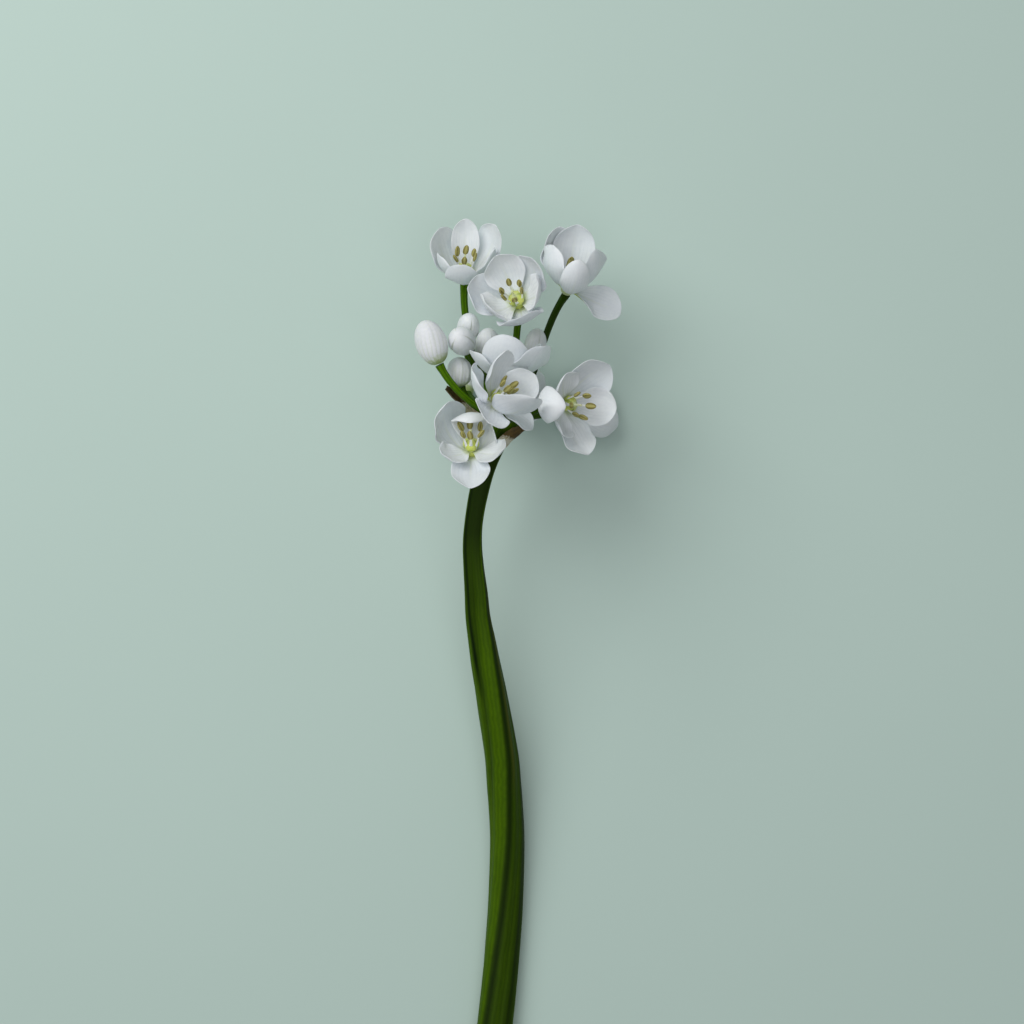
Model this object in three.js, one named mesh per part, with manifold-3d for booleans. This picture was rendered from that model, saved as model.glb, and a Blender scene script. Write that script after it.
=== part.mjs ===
// Flocon allium: one cut stem with its umbel of white flowers and buds, lying on a flat surface.
// Units are millimetres. +X is right, +Y points from the cut end to the flowers, +Z is up.
// The origin is on the surface, under the middle of the whole flower.

import * as THREE from 'three';
import { mergeVertices } from 'three/addons/utils/BufferGeometryUtils.js';
import Module from 'manifold-3d';

const wasm = await Module();
wasm.setup();

// Driving dimensions
// The crown is the swollen top of the scape, where all the flower stalks meet.
const CROWN = new THREE.Vector3(-3.0, 58.9, 24);
const CROWN_RADIUS = 2.7;
const CROWN_SIDES = 12;
const CROWN_BANDS = 8;
const GAP = 0.3;
const STALK_END_GAP = 0.6;
const BLADE_THICKNESS = 0.6;

// The scape: places of its centre line from the crown (right, up the stem, above the crown)
// and its half width there. It sinks from the crown to the surface and ends in a clean cut.
const SCAPE_STATIONS = [
  [-1.8, -3.8, -1.6, 1.9],
  [-3.9, -8.4, -2.6, 1.9],
  [-5.5, -13.8, -3.6, 1.9],
  [-6.6, -20.0, -4.8, 1.8],
  [-6.9, -24.9, -5.8, 1.9],
  [-6.6, -29.8, -6.8, 2.05],
  [-6.1, -34.7, -7.9, 2.3],
  [-5.7, -39.6, -9.1, 2.5],
  [-4.9, -44.5, -10.2, 2.75],
  [-4.1, -49.5, -11.4, 2.95],
  [-3.2, -54.5, -12.6, 3.1],
  [-2.4, -59.5, -13.8, 3.25],
  [-1.6, -64.5, -15.0, 3.35],
  [-0.9, -69.6, -16.2, 3.45],
  [-0.6, -74.7, -17.3, 3.5],
  [-0.3, -79.8, -18.2, 3.5],
  [-0.1, -87.4, -19.4, 3.5],
  [-0.6, -100.0, -20.7, 3.55],
  [-1.4, -110.1, -21.2, 3.6],
  [-2.3, -120.2, -21.4, 3.6],
  [-3.4, -130.6, -21.4, 3.6],
  [-4.8, -143.1, -21.4, 3.6],
  [-6.6, -158.0, -21.4, 3.65],
];
const SCAPE_SIDES = 18;
const SCAPE_STEPS = 28;
const SCAPE_HEIGHT_RATIO = 0.8;
const SCAPE_RIDGES = 3;
const SCAPE_RIDGE_RISE = 0.1;
const SCAPE_FIRST_TURN = THREE.MathUtils.degToRad(20.8);
const SCAPE_TWIST_PER_MM = THREE.MathUtils.degToRad(0.885);

// The stalks of the flowers and buds
const STALK_SIDES = 6;
const STALK_STEPS = 6;
const STALK_ROOT_RADIUS = 0.5;
// Shares of a stalk's reach over which it keeps its way out of the crown and its way into the
// flower, and how closely that last way follows the flower's own axis
const STALK_LEAVES = 0.3;
const STALK_ARRIVES = 0.36;
const STALK_FOLLOWS_FLOWER = 0.75;
const STALK_TAPER = 0.8;
const FLOWER_STALK_RADIUS = 0.72;
const BUD_STALK_RADIUS = 0.75;

// One tepal, before each one's own length and lean
const TEPAL_HALF_WIDTH = 3.95;
const TEPAL_ROOT_HALF_WIDTH = 0.7;
const TEPAL_WIDEST = 0.56;
const TEPAL_FLARE = 1.3;
const TEPAL_TIP_ROUNDING = 2.3;
const TEPAL_TIP_SHARE = 0.16;
const TEPAL_ROOT_RADIUS = 0.8;
const TEPAL_BEND = 0.68;
const TEPAL_ROLLED_BY = 0.5;
const WHORL_OFFSET = 0.52;
const INNER_WHORL_WIDTH = 0.88;
const TEPAL_ROWS = [0, 0.28, 0.5, 0.72, 0.92, 1];
const TEPAL_COLUMNS = 4;

// The disc under the tepals, the ovary with its style, the filaments and the anthers
const DISC_SIDES = 8;
const DISC_PROFILE = [[0.8, -0.8], [1.35, -0.4], [1.35, 0.4], [0.8, 0.8]];
const OVARY_PROFILE = [[1.1, 1.1], [1.5, 1.6], [1.4, 2.5], [0.4, 3.5], [0.28, 5.2]];
const OVARY_SIDES = 6;
const OVARY_LOBES = 3;
const OVARY_LOBE_RISE = 0.12;
const OVARY_SHOULDER = 3;
const FILAMENT_ROOT = { out: 1.05, up: 1.5 };
const FILAMENT_LENGTH = 3.1;
const FILAMENT_ROOT_RADIUS = 0.38;
const FILAMENT_TIP_RADIUS = 0.3;
const ANTHER_LENGTH = 2.2;
const ANTHER_RADIUS = 0.7;
const ANTHER_WIDEST = 0.45;
const STAMEN_SIDES = 4;
const STAMENS = 6;

// A bud's outline: distance along it and radius, both as shares of the whole
const BUD_OUTLINE = [[0, 0.34], [0.13, 0.72], [0.34, 0.97], [0.58, 0.98], [0.8, 0.79], [0.94, 0.46], [1, 0.16]];
const BUD_SIDES = 12;
const BUD_SEAM_STEP = 4;
const BUD_SEAM_DEPTH = 0.06;
const BUD_TURN = THREE.MathUtils.degToRad(28);

// The open flowers. base is where the tepals meet, from the crown. axis is the way the flower
// faces. first is the side from which its tepals' turns are counted. root is the stalk's way out
// of the crown, as degrees to the right of the stem's line and degrees above it. arrival is its
// way into the flower, where that isn't nearly the flower's own. spread is how far the stamens
// lean out. Each tepal is [turn, length, lean at root, at middle, at tip], in degrees and
// millimetres, where a lean of 0 is along the flower's axis. Some have two more numbers: their
// width as a share of the usual one, and their roll about their own line.
const FRONT = [0, 0, 1];
const TOP = [0, 1, 0];
const FLOWERS = [
  {
    name: 'upper_left', base: [-8.5, 28.6, -2.0], axis: [0.03, 0.8, 0.6], first: FRONT, root: [-32, -22],
    arrival: [0.1, 0.86, 0.5], spread: 16,
    tepals: [[-4, 9.6, 78, 42, -8, 0.94], [-56, 10, 80, 44, -8, 1.05], [-124, 11.7, 76, 30, -18, 1.2],
      [182, 12.4, 66, 24, 0, 0.9], [127, 12.6, 72, 28, -8, 1.25], [72, 11, 78, 40, -10, 1.1]],
  },
  {
    name: 'centre', base: [2.3, 23.0, 5], axis: [-0.25, 0.36, 0.9], first: TOP, root: [8, 2],
    arrival: [0.1, 0.62, 0.78], spread: 16,
    tepals: [[88, 10.8, 84, 54, 8, 1.25], [25, 11.6, 80, 44, 0, 1.3], [-36, 10.8, 78, 42, -10, 1.2],
      [-90, 10.2, 80, 46, -14, 1.3], [-160, 10.8, 80, 46, -8, 1.3], [132, 11, 80, 44, -22, 1.3]],
  },
  {
    name: 'upper_right', base: [12.1, 26.2, 0], axis: [0.17, 0.87, 0.46], first: FRONT, root: [42, -34],
    arrival: [0.55, 0.66, 0.5], spread: 0,
    tepals: [[10, 12, 80, 38, -28, 0.8], [-52, 12.8, 78, 28, -28, 1.4],
      [-138, 13.2, 70, 22, -22, 1.25], [184, 14.4, 66, 20, -20, 1.35],
      [98, 11.2, 108, 108, 96, 0.98, 44], [66, 13.6, 76, 28, -44, 1.5]],
  },
  {
    name: 'front', base: [-2.9, 2.6, 15.8], axis: [0.6, 0.62, 0.5], first: FRONT, root: [90, 72],
    arrival: [0, 0.25, 0.96], spread: 6,
    tepals: [[48, 12.6, 66, 28, 2, 1.35], [104, 8.8, 96, 88, 76, 1.1], [162, 10.4, 76, 42, -4, 1.1],
      [-104, 12.2, 66, 22, -12, 1.25], [-52, 9.8, 78, 56, 28, 1.25], [12, 10.4, 88, 84, 70, 1.25]],
  },
  {
    name: 'right', base: [11.0, 2.9, 9.6], axis: [0.66, -0.1, 0.74], first: TOP, root: [80, 34],
    spread: 20,
    tepals: [[92, 14.5, 106, 58, -60, 1], [30, 8.2, 84, 62, 30, 1.15], [-36, 11.6, 84, 58, 16, 1.3],
      [-92, 10.8, 84, 60, 30, 1.2], [-166, 11, 84, 62, 22, 1.1], [148, 9, 84, 60, 20]],
  },
  {
    name: 'lower_left', base: [-7.0, -6.9, 10.4], axis: [0, 0.85, 0.53], first: FRONT, root: [-128, 46],
    spread: 18,
    tepals: [[0, 11.4, 86, 98, 88, 1.05], [-44, 8.6, 86, 80, 40, 1, -20],
      [-128, 12.8, 82, 38, -46, 1.4], [187, 15.2, 66, 4, -136, 1.15], [126, 7.2, 74, 30, -20, 1.1],
      [52, 9.8, 86, 76, 26, 1.1, 20]],
  },
  {
    name: 'upper_middle', base: [0.2, 7.2, 4.5], axis: [0.1, 0.96, 0.24], first: FRONT, root: [16, 24],
    spread: 0,
    tepals: [[-10, 13.4, 68, 28, -6, 1.3], [-60, 11, 84, 54, 24, 1.3], [206, 9, 66, 12, -10, 0.9],
      [154, 9, 66, 12, -10, 0.9], [100, 10, 68, 20, 0], [46, 13, 76, 36, 20, 1.5]],
  },
  {
    name: 'back_middle', base: [1.2, 5.4, -9.6], axis: [0.06, 0.2, -0.97], first: TOP, root: [22, -60],
    spread: 22,
    tepals: [[6, 10.6, 78, 46, 2], [66, 10.4, 78, 46, 2], [126, 10.6, 78, 46, 2],
      [186, 10.4, 78, 46, 2], [246, 10.6, 78, 46, 2], [306, 10.4, 78, 46, 2]],
  },
  {
    name: 'back_right', base: [14.2, 2.6, -14.2], axis: [0.36, 0.06, -0.93], first: TOP, root: [82, -30],
    spread: 20,
    tepals: [[0, 10.4, 78, 40, 0], [60, 10.2, 78, 40, 0], [120, 10.4, 78, 40, 0],
      [180, 10.2, 78, 40, 0], [240, 10.4, 78, 40, 0], [300, 10.2, 78, 40, 0]],
  },
];

// The closed buds, with where each starts and ends from the crown, its half width, the side of
// its first seam and its stalk's way out of the crown.
const BUDS = [
  { name: 'left', base: [-13.4, 10.9, 7], tip: [-16.5, 19.2, 8.4], half: 3.15, first: FRONT,
    root: [-72, 34] },
  { name: 'inner_left', base: [-8.1, 14.5, 1.9], tip: [-9.7, 16.4, 9.2], half: 2.75, first: TOP,
    root: [-42, 20] },
  { name: 'high_left', base: [-8.1, 16.4, -2.6], tip: [-7.4, 20.9, 1.6], half: 2.3, first: FRONT,
    root: [-56, -22] },
  { name: 'low_left', base: [-9.2, 6.9, 0.4], tip: [-9.7, 12.4, 2.2], half: 2.6, first: FRONT,
    root: [-72, 6] },
  { name: 'inner_middle', base: [-4.2, 11.2, -1.4], tip: [-3.6, 18.4, 0.2], half: 2.6, first: FRONT,
    root: [-14, 14] },
  { name: 'inner_right', base: [5.2, 11.6, -2.2], tip: [6.2, 18.4, -0.6], half: 2.25, first: FRONT,
    root: [50, 12] },
  { name: 'inner_back', base: [-5.4, 7.4, -7.1], tip: [-6.0, 13.6, -8.2], half: 2.3, first: FRONT,
    root: [-40, -38] },
  { name: 'low_back', base: [-8.2, 6.0, -16.8], tip: [-10.4, 9.6, -23.4], half: 2.3, first: TOP,
    root: [-58, -60] },
];

// The two papery valves of the spathe that wrapped the young umbel. Each is a row of
// [right, up, above the crown, half width, bend in degrees], from its root round the neck to its tip.
const VALVE_COLUMNS = 6;
const VALVES = [
  { name: 'left', facing: [0.75, 0.45, 0.5], rows: [[-5.3, -5.7, -2.7, 2.4, 60], [-5.4, -2.6, -2.4, 2.8, 48],
    [-6.5, 0.4, -2.0, 2.8, 34], [-8.4, 3.0, -1.8, 2.4, 30], [-10.3, 5.0, -1.5, 1.6, 34],
    [-12.0, 6.6, -0.9, 0.6, 20]] },
  { name: 'right', facing: [-0.5, 0.35, -0.7], rows: [[-1.0, -5.3, 0.4, 1.6, 55], [0.2, -3.8, 1.5, 1.5, 50],
    [1.4, -2.8, 2.1, 1.2, 44], [2.4, -2.0, 2.1, 0.9, 36], [3.2, -1.3, 1.8, 0.7, 30],
    [3.8, -0.7, 1.4, 0.45, 20]] },
];

// How near two points are merged, and how far a joined surface may shift as it is simplified
const WELD_DISTANCE = 1e-5;
const JOIN_TOLERANCE = 0.005;

// Colours and finishes
function finish(color, roughness) {
  return new THREE.MeshStandardMaterial({ color, roughness, metalness: 0, side: THREE.DoubleSide });
}

const scapeGreen = finish(0x3c5a12, 0.5);
const stalkGreen = finish(0x34521a, 0.5);
const tepalWhite = finish(0xe6e9ec, 0.6);
const heartOlive = finish(0xa3a83a, 0.6);
const budWhite = finish(0xe9ece6, 0.55);
const spatheTan = finish(0xc9bfa2, 0.8);

// Makes a closed body of triangles with its faces pointing out. What would reach below the
// surface is pressed flat on it.
function body(points, faces) {
  points.forEach((point) => {
    point.z = Math.max(point.z, 0);
  });
  const positions = points.flatMap((point) => [point.x, point.y, point.z]);
  let sixVolumes = 0;
  for (const [a, b, c] of faces) {
    sixVolumes += points[a].dot(new THREE.Vector3().crossVectors(points[b], points[c]));
  }
  const outward = sixVolumes > 0 ? faces : faces.map(([a, b, c]) => [a, c, b]);
  const geometry = new THREE.BufferGeometry();
  geometry.setAttribute('position', new THREE.Float32BufferAttribute(positions, 3));
  geometry.setIndex(outward.flat());
  return geometry;
}

// Skins a row of rings that all have the same number of points, and closes both ends.
function loft(rings) {
  const sides = rings[0].length;
  const faces = [];
  for (let ring = 0; ring < rings.length - 1; ring += 1) {
    for (let side = 0; side < sides; side += 1) {
      const a = ring * sides + side;
      const b = ring * sides + ((side + 1) % sides);
      faces.push([a, b, b + sides], [a, b + sides, a + sides]);
    }
  }
  const last = (rings.length - 1) * sides;
  for (let side = 1; side < sides - 1; side += 1) {
    faces.push([0, side + 1, side], [last, last + side, last + side + 1]);
  }
  return body(rings.flat(), faces);
}

// A ring round a centre, with its radius given for each angle
function ring(centre, across, along, sides, radius) {
  return Array.from({ length: sides }, (_, side) => {
    const angle = (side / sides) * 2 * Math.PI;
    const reach = radius(angle, side);
    return centre.clone()
      .addScaledVector(across, reach * Math.cos(angle))
      .addScaledVector(along, reach * Math.sin(angle));
  });
}

// A thin curved sheet. Each row has a centre, the side direction, the inward direction, a half
// width and the bend of its cross section. Both faces are split along the same diagonals.
function sheet(rows, columns, thickness) {
  const inner = [];
  const outer = [];
  for (const row of rows) {
    const bendRadius = row.half / row.bend;
    for (let column = 0; column <= columns; column += 1) {
      const angle = ((2 * column) / columns - 1) * row.bend;
      const normal = row.inward.clone().multiplyScalar(Math.cos(angle))
        .addScaledVector(row.side, -Math.sin(angle));
      const point = row.centre.clone()
        .addScaledVector(row.side, bendRadius * Math.sin(angle))
        .addScaledVector(row.inward, bendRadius * (1 - Math.cos(angle)));
      inner.push(point);
      outer.push(point.clone().addScaledVector(normal, -thickness));
    }
  }
  const width = columns + 1;
  const back = inner.length;
  const faces = [];
  for (let row = 0; row < rows.length - 1; row += 1) {
    for (let column = 0; column < columns; column += 1) {
      const a = row * width + column;
      const [b, c, d] = [a + 1, a + width + 1, a + width];
      faces.push([a, b, c], [a, c, d], [a + back, c + back, b + back], [a + back, d + back, c + back]);
    }
  }
  const border = [];
  for (let column = 0; column < columns; column += 1) border.push(column);
  for (let row = 0; row < rows.length - 1; row += 1) border.push(row * width + columns);
  for (let column = columns; column > 0; column -= 1) border.push((rows.length - 1) * width + column);
  for (let row = rows.length - 1; row > 0; row -= 1) border.push(row * width);
  border.forEach((from, index) => {
    const to = border[(index + 1) % border.length];
    faces.push([from, from + back, to + back], [from, to + back, to]);
  });
  return body([...inner, ...outer], faces);
}

function manifold(geometry) {
  const welded = mergeVertices(geometry, WELD_DISTANCE);
  return new wasm.Manifold(new wasm.Mesh({
    numProp: 3,
    vertProperties: new Float32Array(welded.attributes.position.array),
    triVerts: new Uint32Array(welded.index.array),
  }));
}

// Joins closed bodies that reach into each other.
function join(geometries) {
  const joined = geometries.map(manifold).reduce((whole, next) => whole.add(next)).simplify(JOIN_TOLERANCE);
  const mesh = joined.getMesh();
  const geometry = new THREE.BufferGeometry();
  geometry.setAttribute('position', new THREE.BufferAttribute(new Float32Array(mesh.vertProperties), 3));
  geometry.setIndex(new THREE.BufferAttribute(new Uint32Array(mesh.triVerts), 1));
  return geometry;
}

function fromCrown([x, y, z]) {
  return new THREE.Vector3(x, y, z).add(CROWN);
}

// The three directions of a flower or bud: its axis, its first side, and the side a quarter turn on
function directions(axis, first) {
  const along = new THREE.Vector3(...axis).normalize();
  const across = new THREE.Vector3(...first).projectOnPlane(along).normalize();
  return { along, across, beside: new THREE.Vector3().crossVectors(along, across) };
}

// The scape with its crown: a bluntly three-edged stem whose edges turn slowly round it, pressed
// flat where it lies on the surface
function scapeGeometry() {
  const stations = SCAPE_STATIONS.map((station) => fromCrown(station));
  const line = new THREE.CatmullRomCurve3([CROWN.clone(), ...stations], false, 'centripetal');
  const halves = [CROWN_RADIUS, ...SCAPE_STATIONS.map((station) => station[3])];
  const rings = [];
  for (let step = 0; step <= SCAPE_STEPS; step += 1) {
    const share = step / SCAPE_STEPS;
    const place = share * (halves.length - 1);
    const before = Math.min(Math.floor(place), halves.length - 2);
    const half = THREE.MathUtils.lerp(halves[before], halves[before + 1], place - before);
    const tangent = line.getTangent(share).negate();
    const across = new THREE.Vector3(1, 0, 0).projectOnPlane(tangent).normalize();
    const up = new THREE.Vector3().crossVectors(across, tangent).multiplyScalar(SCAPE_HEIGHT_RATIO);
    const centre = line.getPoint(share);
    const turn = SCAPE_FIRST_TURN + SCAPE_TWIST_PER_MM * (CROWN.y - centre.y);
    const rise = SCAPE_RIDGE_RISE * Math.min(1, place);
    rings.push(ring(centre, across, up, SCAPE_SIDES, (angle) => (
      half * (1 + rise * Math.cos(SCAPE_RIDGES * (angle - turn)))
    )));
  }
  const crown = new THREE.SphereGeometry(CROWN_RADIUS, CROWN_SIDES, CROWN_BANDS);
  crown.deleteAttribute('normal');
  crown.deleteAttribute('uv');
  crown.translate(CROWN.x, CROWN.y, CROWN.z);
  return join([loft(rings), crown]);
}

// A stalk leaves the crown square to it and bends into the line of its flower.
function stalkGeometry({ root, arrival }, end, along, tipRadius) {
  const [right, above] = root.map(THREE.MathUtils.degToRad);
  const out = new THREE.Vector3(
    Math.sin(right) * Math.cos(above),
    Math.cos(right) * Math.cos(above),
    Math.sin(above),
  );
  const start = CROWN.clone().addScaledVector(out, CROWN_RADIUS + GAP);
  const straight = end.clone().sub(start);
  const reach = straight.length();
  const into = arrival
    ? new THREE.Vector3(...arrival).normalize()
    : straight.normalize().lerp(along, STALK_FOLLOWS_FLOWER).normalize();
  const line = new THREE.CubicBezierCurve3(
    start,
    start.clone().addScaledVector(out, reach * STALK_LEAVES),
    end.clone().addScaledVector(into, -reach * STALK_ARRIVES),
    end,
  );
  const { normals, binormals } = line.computeFrenetFrames(STALK_STEPS, false);
  const rings = normals.map((normal, step) => {
    const share = step / STALK_STEPS;
    const radius = THREE.MathUtils.lerp(STALK_ROOT_RADIUS, tipRadius, share ** STALK_TAPER);
    return ring(line.getPointAt(share), normal, binormals[step], STALK_SIDES, () => radius);
  });
  return loft(rings);
}

// Share of the full half width at a place along the tepal
function tepalWidth(place) {
  const root = TEPAL_ROOT_HALF_WIDTH / TEPAL_HALF_WIDTH;
  if (place < TEPAL_WIDEST) {
    return root + (1 - root) * Math.sin((place / TEPAL_WIDEST) * (Math.PI / 2)) ** TEPAL_FLARE;
  }
  const past = (place - TEPAL_WIDEST) / (1 - TEPAL_WIDEST);
  return Math.max(TEPAL_TIP_SHARE, Math.sqrt(1 - past ** TEPAL_TIP_ROUNDING));
}

// A tepal rises from the disc along a curve in the plane of the flower's axis.
function tepalGeometry(base, { along, across, beside }, tepal, outer) {
  const [turn, length, rootLean, middleLean, tipLean, wide = 1, roll = 0] = tepal;
  const angle = THREE.MathUtils.degToRad(turn);
  const out = across.clone().multiplyScalar(Math.cos(angle)).addScaledVector(beside, Math.sin(angle));
  const side = new THREE.Vector3().crossVectors(along, out);
  const leanAt = (s) => THREE.MathUtils.degToRad(
    (1 - s) ** 2 * rootLean + 2 * s * (1 - s) * middleLean + s ** 2 * tipLean,
  );
  const whorl = outer ? -WHORL_OFFSET : WHORL_OFFSET;
  const width = wide * (outer ? 1 : INNER_WHORL_WIDTH);
  const slices = 40;
  let reach = TEPAL_ROOT_RADIUS;
  let rise = 0;
  let slice = 0;
  const rows = TEPAL_ROWS.map((place) => {
    for (; slice < Math.round(place * slices); slice += 1) {
      const lean = leanAt((slice + 0.5) / slices);
      reach += (Math.sin(lean) * length) / slices;
      rise += (Math.cos(lean) * length) / slices;
    }
    const lean = leanAt(place);
    const inward = along.clone().multiplyScalar(Math.sin(lean)).addScaledVector(out, -Math.cos(lean));
    const centre = base.clone()
      .addScaledVector(along, rise)
      .addScaledVector(out, reach)
      .addScaledVector(inward, whorl);
    const tilt = THREE.MathUtils.degToRad(roll) * Math.min(1, place / TEPAL_ROLLED_BY);
    return {
      centre,
      side: side.clone().multiplyScalar(Math.cos(tilt)).addScaledVector(inward, Math.sin(tilt)),
      inward: inward.clone().multiplyScalar(Math.cos(tilt)).addScaledVector(side, -Math.sin(tilt)),
      half: TEPAL_HALF_WIDTH * width * tepalWidth(place),
      bend: TEPAL_BEND,
    };
  });
  return sheet(rows, TEPAL_COLUMNS, BLADE_THICKNESS);
}

// A turned form on a flower's axis, from pairs of radius and height
function turned(base, { along, across, beside }, profile, sides, relief = () => 1) {
  return loft(profile.map(([radius, rise]) => ring(
    base.clone().addScaledVector(along, rise),
    across,
    beside,
    sides,
    (angle) => radius * relief(angle, rise),
  )));
}

// All six tepals of a flower on their disc, the outer and inner ones by turns
function flowerGeometry(flower) {
  const base = fromCrown(flower.base);
  const ways = directions(flower.axis, flower.first);
  const tepals = flower.tepals.map((tepal, index) => tepalGeometry(base, ways, tepal, index % 2 === 0));
  return join([turned(base, ways, DISC_PROFILE, DISC_SIDES), ...tepals]);
}

// The ovary with its style, and round it the six stamens
function heartGeometry(flower) {
  const base = fromCrown(flower.base);
  const ways = directions(flower.axis, flower.first);
  const ovary = turned(base, ways, OVARY_PROFILE, OVARY_SIDES, (angle, rise) => (
    1 + (rise < OVARY_SHOULDER ? OVARY_LOBE_RISE * Math.cos(OVARY_LOBES * angle) : 0)
  ));
  const stamens = Array.from({ length: STAMENS }, (_, index) => {
    const turn = THREE.MathUtils.degToRad(flower.tepals[index][0]);
    const lean = THREE.MathUtils.degToRad(flower.spread);
    const out = ways.across.clone().multiplyScalar(Math.cos(turn))
      .addScaledVector(ways.beside, Math.sin(turn));
    const side = new THREE.Vector3().crossVectors(ways.along, out);
    const line = ways.along.clone().multiplyScalar(Math.cos(lean)).addScaledVector(out, Math.sin(lean));
    const square = new THREE.Vector3().crossVectors(side, line);
    const start = base.clone()
      .addScaledVector(out, FILAMENT_ROOT.out)
      .addScaledVector(ways.along, FILAMENT_ROOT.up);
    const at = (distance) => start.clone().addScaledVector(line, distance);
    const outline = [
      [0, FILAMENT_ROOT_RADIUS],
      [FILAMENT_LENGTH, FILAMENT_TIP_RADIUS],
      [FILAMENT_LENGTH + ANTHER_WIDEST * ANTHER_LENGTH, ANTHER_RADIUS],
      [FILAMENT_LENGTH + ANTHER_LENGTH, FILAMENT_TIP_RADIUS],
    ];
    return loft(outline.map(([distance, radius]) => (
      ring(at(distance), side, square, STAMEN_SIDES, () => radius)
    )));
  });
  return join([ovary, ...stamens]);
}

// A bud is closed by three outer tepals, whose edges make three slanting seams.
function budGeometry(bud) {
  const base = fromCrown(bud.base);
  const axis = fromCrown(bud.tip).sub(base);
  const { along, across, beside } = directions(axis.toArray(), bud.first);
  return loft(BUD_OUTLINE.map(([share, radius]) => {
    const turn = BUD_TURN * share;
    const turnedAcross = across.clone().multiplyScalar(Math.cos(turn))
      .addScaledVector(beside, Math.sin(turn));
    const turnedBeside = new THREE.Vector3().crossVectors(along, turnedAcross);
    return ring(
      base.clone().addScaledVector(along, share * axis.length()),
      turnedAcross,
      turnedBeside,
      BUD_SIDES,
      (angle, side) => bud.half * radius * (1 - (side % BUD_SEAM_STEP === 0 ? BUD_SEAM_DEPTH : 0)),
    );
  }));
}

// A papery valve of the spathe
function valveGeometry(valve) {
  const centres = valve.rows.map((row) => fromCrown(row));
  const facing = new THREE.Vector3(...valve.facing);
  const rows = valve.rows.map(([, , , half, bend], index) => {
    const before = centres[Math.max(index - 1, 0)];
    const after = centres[Math.min(index + 1, centres.length - 1)];
    const tangent = after.clone().sub(before).normalize();
    const inward = facing.clone().projectOnPlane(tangent).normalize();
    const side = new THREE.Vector3().crossVectors(tangent, inward);
    return { centre: centres[index], side, inward, half, bend: THREE.MathUtils.degToRad(bend) };
  });
  return sheet(rows, VALVE_COLUMNS, BLADE_THICKNESS);
}

const allium = new THREE.Group();

function add(name, geometry, material) {
  const mesh = new THREE.Mesh(geometry, material);
  mesh.name = name;
  allium.add(mesh);
}

add('scape', scapeGeometry(), scapeGreen);
for (const valve of VALVES) add(`spathe_${valve.name}`, valveGeometry(valve), spatheTan);
for (const flower of FLOWERS) {
  const { along } = directions(flower.axis, flower.first);
  const end = fromCrown(flower.base).addScaledVector(along, DISC_PROFILE[0][1] - STALK_END_GAP);
  add(`stalk_${flower.name}`, stalkGeometry(flower, end, along, FLOWER_STALK_RADIUS), stalkGreen);
  add(`tepals_${flower.name}`, flowerGeometry(flower), tepalWhite);
  add(`heart_${flower.name}`, heartGeometry(flower), heartOlive);
}
for (const bud of BUDS) {
  const along = fromCrown(bud.tip).sub(fromCrown(bud.base)).normalize();
  const end = fromCrown(bud.base).addScaledVector(along, -STALK_END_GAP);
  add(`bud_stalk_${bud.name}`, stalkGeometry(bud, end, along, BUD_STALK_RADIUS), stalkGreen);
  add(`bud_${bud.name}`, budGeometry(bud), budWhite);
}

export default allium;
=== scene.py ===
"""A cut allium stem lying down: a green scape with a loose umbel of white flowers and buds.

Sizes and places are in millimetres in the part's own frame: +X is right, +Y points up the stem
and +Z up from the surface. Places marked as from the crown are [right, up the stem, above it].
"""

import math

import bpy
import numpy as np
from mathutils import Matrix, Vector, noise


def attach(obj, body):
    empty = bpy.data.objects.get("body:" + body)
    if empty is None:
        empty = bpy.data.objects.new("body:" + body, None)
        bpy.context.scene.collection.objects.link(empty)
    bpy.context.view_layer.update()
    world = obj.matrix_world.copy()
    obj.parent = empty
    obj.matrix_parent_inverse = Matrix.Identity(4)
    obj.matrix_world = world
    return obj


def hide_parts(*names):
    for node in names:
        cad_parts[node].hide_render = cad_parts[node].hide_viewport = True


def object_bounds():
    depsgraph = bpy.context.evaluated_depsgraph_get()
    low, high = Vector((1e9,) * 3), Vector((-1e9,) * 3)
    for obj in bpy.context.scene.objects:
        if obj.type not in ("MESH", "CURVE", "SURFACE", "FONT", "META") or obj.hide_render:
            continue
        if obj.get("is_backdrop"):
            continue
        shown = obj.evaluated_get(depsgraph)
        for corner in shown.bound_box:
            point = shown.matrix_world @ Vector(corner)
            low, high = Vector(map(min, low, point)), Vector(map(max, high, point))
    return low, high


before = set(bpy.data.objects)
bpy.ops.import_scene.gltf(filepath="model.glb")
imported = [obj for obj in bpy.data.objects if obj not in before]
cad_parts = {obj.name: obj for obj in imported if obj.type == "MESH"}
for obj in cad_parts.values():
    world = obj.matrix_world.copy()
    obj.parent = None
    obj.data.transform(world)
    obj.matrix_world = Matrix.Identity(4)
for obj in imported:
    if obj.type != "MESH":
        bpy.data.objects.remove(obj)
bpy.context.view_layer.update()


# The scape
# The leafless flowering stem: one piece of living green tissue with three blunt ridges, which turn
# slowly round it, and soft grooves between them. Its top is swollen into the crown, from which all
# the stalks grow. Its lower end is a clean cut, and low down it lies flat on the surface.
MM = 0.001
CROWN = np.array([-3.0, 58.9, 24.0])
CROWN_RADIUS = 2.7
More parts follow.
